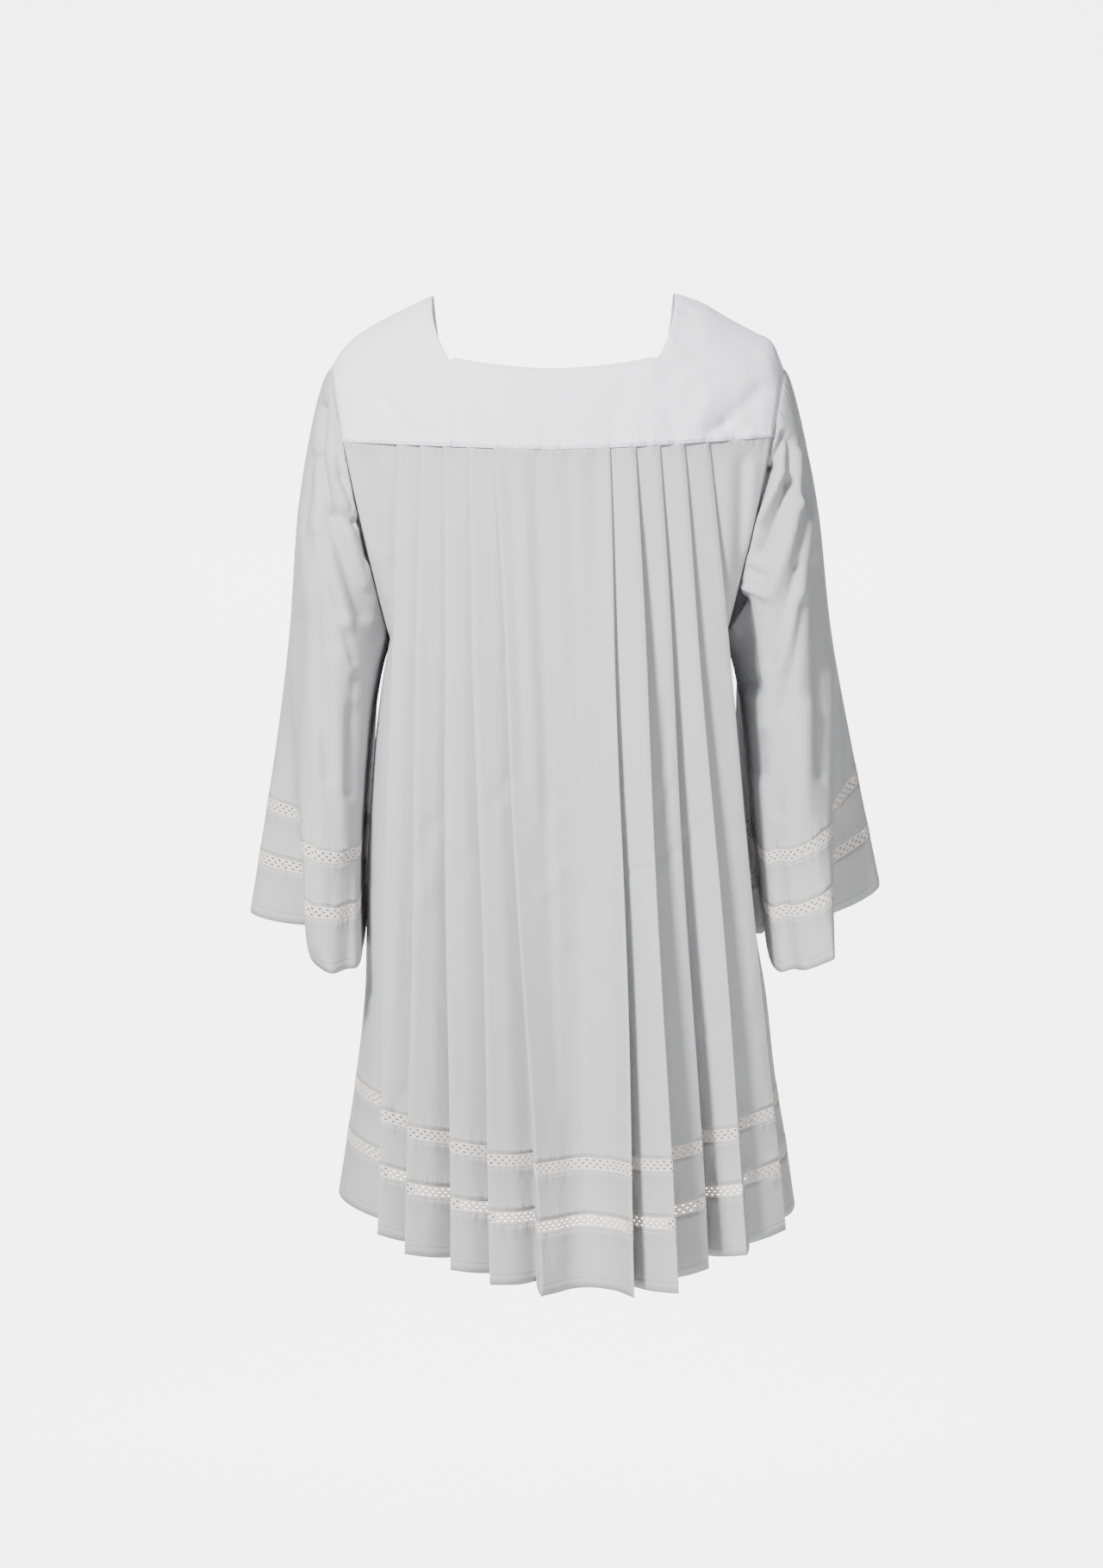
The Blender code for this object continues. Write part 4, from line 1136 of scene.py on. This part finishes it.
# Troughs: where one starts down the sleeve, its place and half width round the ring at its top and at the
# hem, its depth, and how far it draws the cloth in.
Trough = namedtuple("Trough", "start top_deg hem_deg top_half_deg hem_half_deg depth tuck")
TROUGHS = {
    "left": [
        Trough(0.60, 26, 60, 22, 50, 0.075, 0.034),
        Trough(0.10, 125, 122, 18, 18, 0.008, 0.000),
        Trough(0.45, -45, -52, 20, 34, 0.034, 0.006),
        Trough(0.20, -120, -112, 22, 22, 0.010, 0.000),
    ],
    "right": [
        Trough(0.60, 25, 49, 20, 40, 0.062, 0.020),
        Trough(0.10, 122, 118, 18, 18, 0.009, 0.000),
        Trough(0.45, -48, -50, 20, 34, 0.036, 0.008),
        Trough(0.20, -122, -115, 22, 22, 0.010, 0.000),
    ],
}
SLEEVE_CREASES = {
    "back": [
        (247, -160, 232, -192, 4.5, -7.8), (232, -192, 210, -247, 5.5, -13.2),
        (254, -165, 253, -210, 4.5, -6.2), (253, -210, 221, -284, 6, -9.3),
        (243, -200, 222, -250, 4.5, 6.2), (262, -180, 262, -235, 5.5, 4.7), (262, -235, 232, -330, 8, 6.2),
        (270, -210, 262, -300, 6, -4.7), (262, -300, 232, -400, 8, -5.4), (254, -340, 224, -470, 9, 3.9),
        (268, -340, 246, -450, 7, -3.4), (206, -323, 226, -331, 3, 4.5), (199, -339, 209, -430, 10, -17),
        (209, -430, 218, -520, 10, -7.8), (283, -300, 288, -520, 9, -4.7), (270, -450, 262, -600, 11, 4.7),
        (-247, -130, -252, -185, 4.5, -9.3), (-252, -185, -240, -240, 5.5, -9.3),
        (-240, -240, -210, -253, 5, -6.2), (-210, -253, -197, -290, 5, -4.7),
        (-236, -190, -222, -235, 6, 3.9), (-240, -245, -204, -350, 8, -6.2),
        (-252, -250, -224, -360, 9, 5.4), (-224, -360, -214, -440, 9, 4.7),
        (-256, -340, -240, -520, 10, -4.7), (-232, -400, -228, -600, 11, 4.7),
        (-214, -420, -218, -540, 7, -5.4), (236, -150, 226, -200, 4, -5), (272, -175, 276, -240, 6, -4),
        (276, -240, 262, -330, 7, 3.5), (210, -303, 226, -312, 4.5, -3), (240, -420, 240, -560, 9, -3.5),
        (300, -420, 312, -560, 9, 4), (-262, -180, -266, -260, 5, -4.5),
        (-231, -150, -226, -205, 4.2, -4.5), (-226, -205, -214, -235, 4.2, -4),
        (-218, -262, -204, -320, 5, 3.5), (-246, -270, -216, -400, 5.5, -4.5),
        (-270, -240, -262, -340, 8, 3), (-272, -360, -286, -520, 10, -3.5),
        (-250, -480, -246, -640, 9, 3.5),
    ],
    "front": [
        (245, -150, 222, -260, 7, -9.3), (262, -190, 236, -330, 8, 6.2), (268, -260, 240, -430, 9, -5.4),
        (215, -400, 224, -540, 9, -4.7), (-240, -150, -218, -260, 7, -9.3),
        (-254, -200, -230, -330, 8, 6.2), (-258, -270, -236, -430, 9, -4.7),
        (-206, -400, -214, -540, 9, -4.7),
    ],
}
SLEEVE_LINES = 232
SLEEVE_DENSE_ROWS = 190
SLEEVE_ROWS = 104
TRIMMED_SLEEVE = sum(strip.sleeve for strip in STRIPS)
# How far the inner wall leans over the side of the skirt, away from the side plane.
SLEEVE_LEAN = {
    "left": {"back": 0.007, "front": 0.013},
    "right": {"back": 0.002, "front": 0.019},
}
LEAN_ALONG = (0.10, 0.42)  # where the lean begins and is full, down the sleeve and out from its side plane
LEAN_DEPTH = (0.35, 0.95)
LEAN_INWARD = 2.0  # how soon the lean is full, from the top of the ring to the inner wall
HEAD_VALLEY = 0.0012  # the seam's own groove, the puffed head below it and its uneven gathers
VALLEY_REACH = 0.004
HEAD_PUFF = 0.0030
PUFF_START = 0.010
HEAD_REACH = 0.030
HEAD_GATHER = 0.0009
GATHER_START = 0.003
GATHER_FADE = 0.018
HEAD_GATHERS = 19.0  # how many gathers there are round the head, and the slow waves that make them uneven
GATHER_SHIFT = 1.3
GATHER_SHIFTS = 5.0
GATHER_SWELLS = 7.0
GATHER_SWELL_START = 0.6


def sleeve_ring(side, along, angles):
    """One ring of a sleeve's surface at a share of its length."""
    row = read_table(SLEEVES[side], "along", along)
    outward_part = np.cos(angles)
    backward = np.sin(angles)
    power = np.where(outward_part > 0.0, row.outer_power, row.inner_power)
    reach = np.sign(outward_part) * np.abs(outward_part) ** (2.0 / power)
    depth = np.sign(backward) * np.abs(backward) ** (2.0 / power)
    half_depth = np.where(depth > 0.0, row.back, row.front)
    half_width = (row.outer_x - row.inner_x) / 2
    arm_x = half_width * reach
    arm_y = -half_depth * depth
    size = np.maximum(np.hypot(arm_x, arm_y), TINY)
    pull = np.zeros(len(angles))
    tuck = np.zeros(len(angles))
    for trough in TROUGHS[side]:
        part = max((along - trough.start) / (1.0 - trough.start), 0.0)
        middle = math.radians(blend(trough.top_deg, trough.hem_deg, part))
        half_wide = math.radians(blend(trough.top_half_deg, trough.hem_half_deg, part))
        away = np.abs((angles - middle + math.pi) % (2.0 * math.pi) - math.pi) / half_wide
        amount = np.where(away < 1.0, part**2 * np.cos(np.minimum(away, 1.0) * math.pi / 2) ** 2, 0.0)
        pull += trough.depth * amount
        tuck += trough.tuck * amount
    arm_x, arm_y = arm_x - arm_x / size * pull, arm_y - arm_y / size * pull
    x = row.outer_x - half_width + arm_x - tuck
    drop = np.where(depth > 0.0, SLEEVE_DROP["back"], SLEEVE_DROP["front"]) * along
    drop_power = np.where(outward_part > 0.0, SLEEVE_DROP_POWER[side], SLEEVE_DROP_POWER["inner"])
    drop = drop * (np.abs(arm_y) / half_depth) ** drop_power
    z = blend(row.outer_z, row.inner_z, (row.outer_x - x) / (2.0 * half_width)) - drop
    square = np.array((ARMHOLE_HALF_HEIGHT, -ARMHOLE_LEAN)) / math.hypot(ARMHOLE_HALF_HEIGHT, ARMHOLE_LEAN)
    start = (SLEEVE_START + SLEEVE_START_MORE * np.abs(np.sin(angles / 2))) * (1.0 - along)
    aside = np.clip((np.abs(arm_y) / half_depth - LEAN_DEPTH[0]) / (LEAN_DEPTH[1] - LEAN_DEPTH[0]), 0.0, 1.0)
    lean = np.where(depth > 0.0, SLEEVE_LEAN[side]["back"], SLEEVE_LEAN[side]["front"])
    lean = lean * ease((along - LEAN_ALONG[0]) / (LEAN_ALONG[1] - LEAN_ALONG[0]))
    lean = lean * aside**2 * (3.0 - 2.0 * aside) * np.clip(-LEAN_INWARD * outward_part, 0.0, 1.0)
    ring = np.stack([x + square[0] * start - lean, arm_y, z + square[1] * start], axis=1)
    if side == "left":
        ring[:, 0] *= -1.0
    return ring


def rows_at(dense, lengths, wanted):
    """A row of points, each at its own wanted length down its line."""
    row = np.empty((dense.shape[1], 3))
    for c in range(dense.shape[1]):
        for axis in range(3):
            row[c, axis] = np.interp(wanted[c], lengths[:, c], dense[:, c, axis])
    return row


for side in ("left", "right"):
    flip = side == "left"
    angles = np.arange(SLEEVE_LINES) * 2.0 * math.pi / SLEEVE_LINES
    dense = np.array([sleeve_ring(side, i / SLEEVE_DENSE_ROWS, angles) for i in range(SLEEVE_DENSE_ROWS + 1)])
    normals = outward(dense, True, flip)
    dense = crease_cloth(dense, normals, SLEEVE_CREASES)
    from_seam = np.linalg.norm(dense - dense[:1], axis=2)
    valley = -HEAD_VALLEY * np.exp(-from_seam / VALLEY_REACH)
    puff = HEAD_PUFF * (1.0 - np.exp(-from_seam / PUFF_START)) * np.exp(-((from_seam / HEAD_REACH) ** 2))
    gathers = np.sin(angles * HEAD_GATHERS + GATHER_SHIFT * np.sin(angles * GATHER_SHIFTS))
    gathers = gathers * np.sin(angles * GATHER_SWELLS + GATHER_SWELL_START)
    fade = np.exp(-from_seam / GATHER_FADE) * (1.0 - np.exp(-from_seam / GATHER_START))
    dense = dense + normals * (valley + puff + HEAD_GATHER * gathers[None, :] * fade)[..., None]
    lengths = lengths_along(dense, 0)
    full = lengths[-1]
    plain = full - TRIMMED_SLEEVE
    cloth_rows = [rows_at(dense, lengths, plain * i / SLEEVE_ROWS) for i in range(SLEEVE_ROWS + 1)]
    plain_strip("sleeve_" + side, np.array(cloth_rows), True, flip)
    for name, heights in strip_levels("sleeve"):
        rows = np.array([rows_at(dense, lengths, full - height) for height in heights])
        hang_strip(f"sleeve_{side}_{name}", rows, True, flip)

bpy.data.objects.remove(lace_cell)
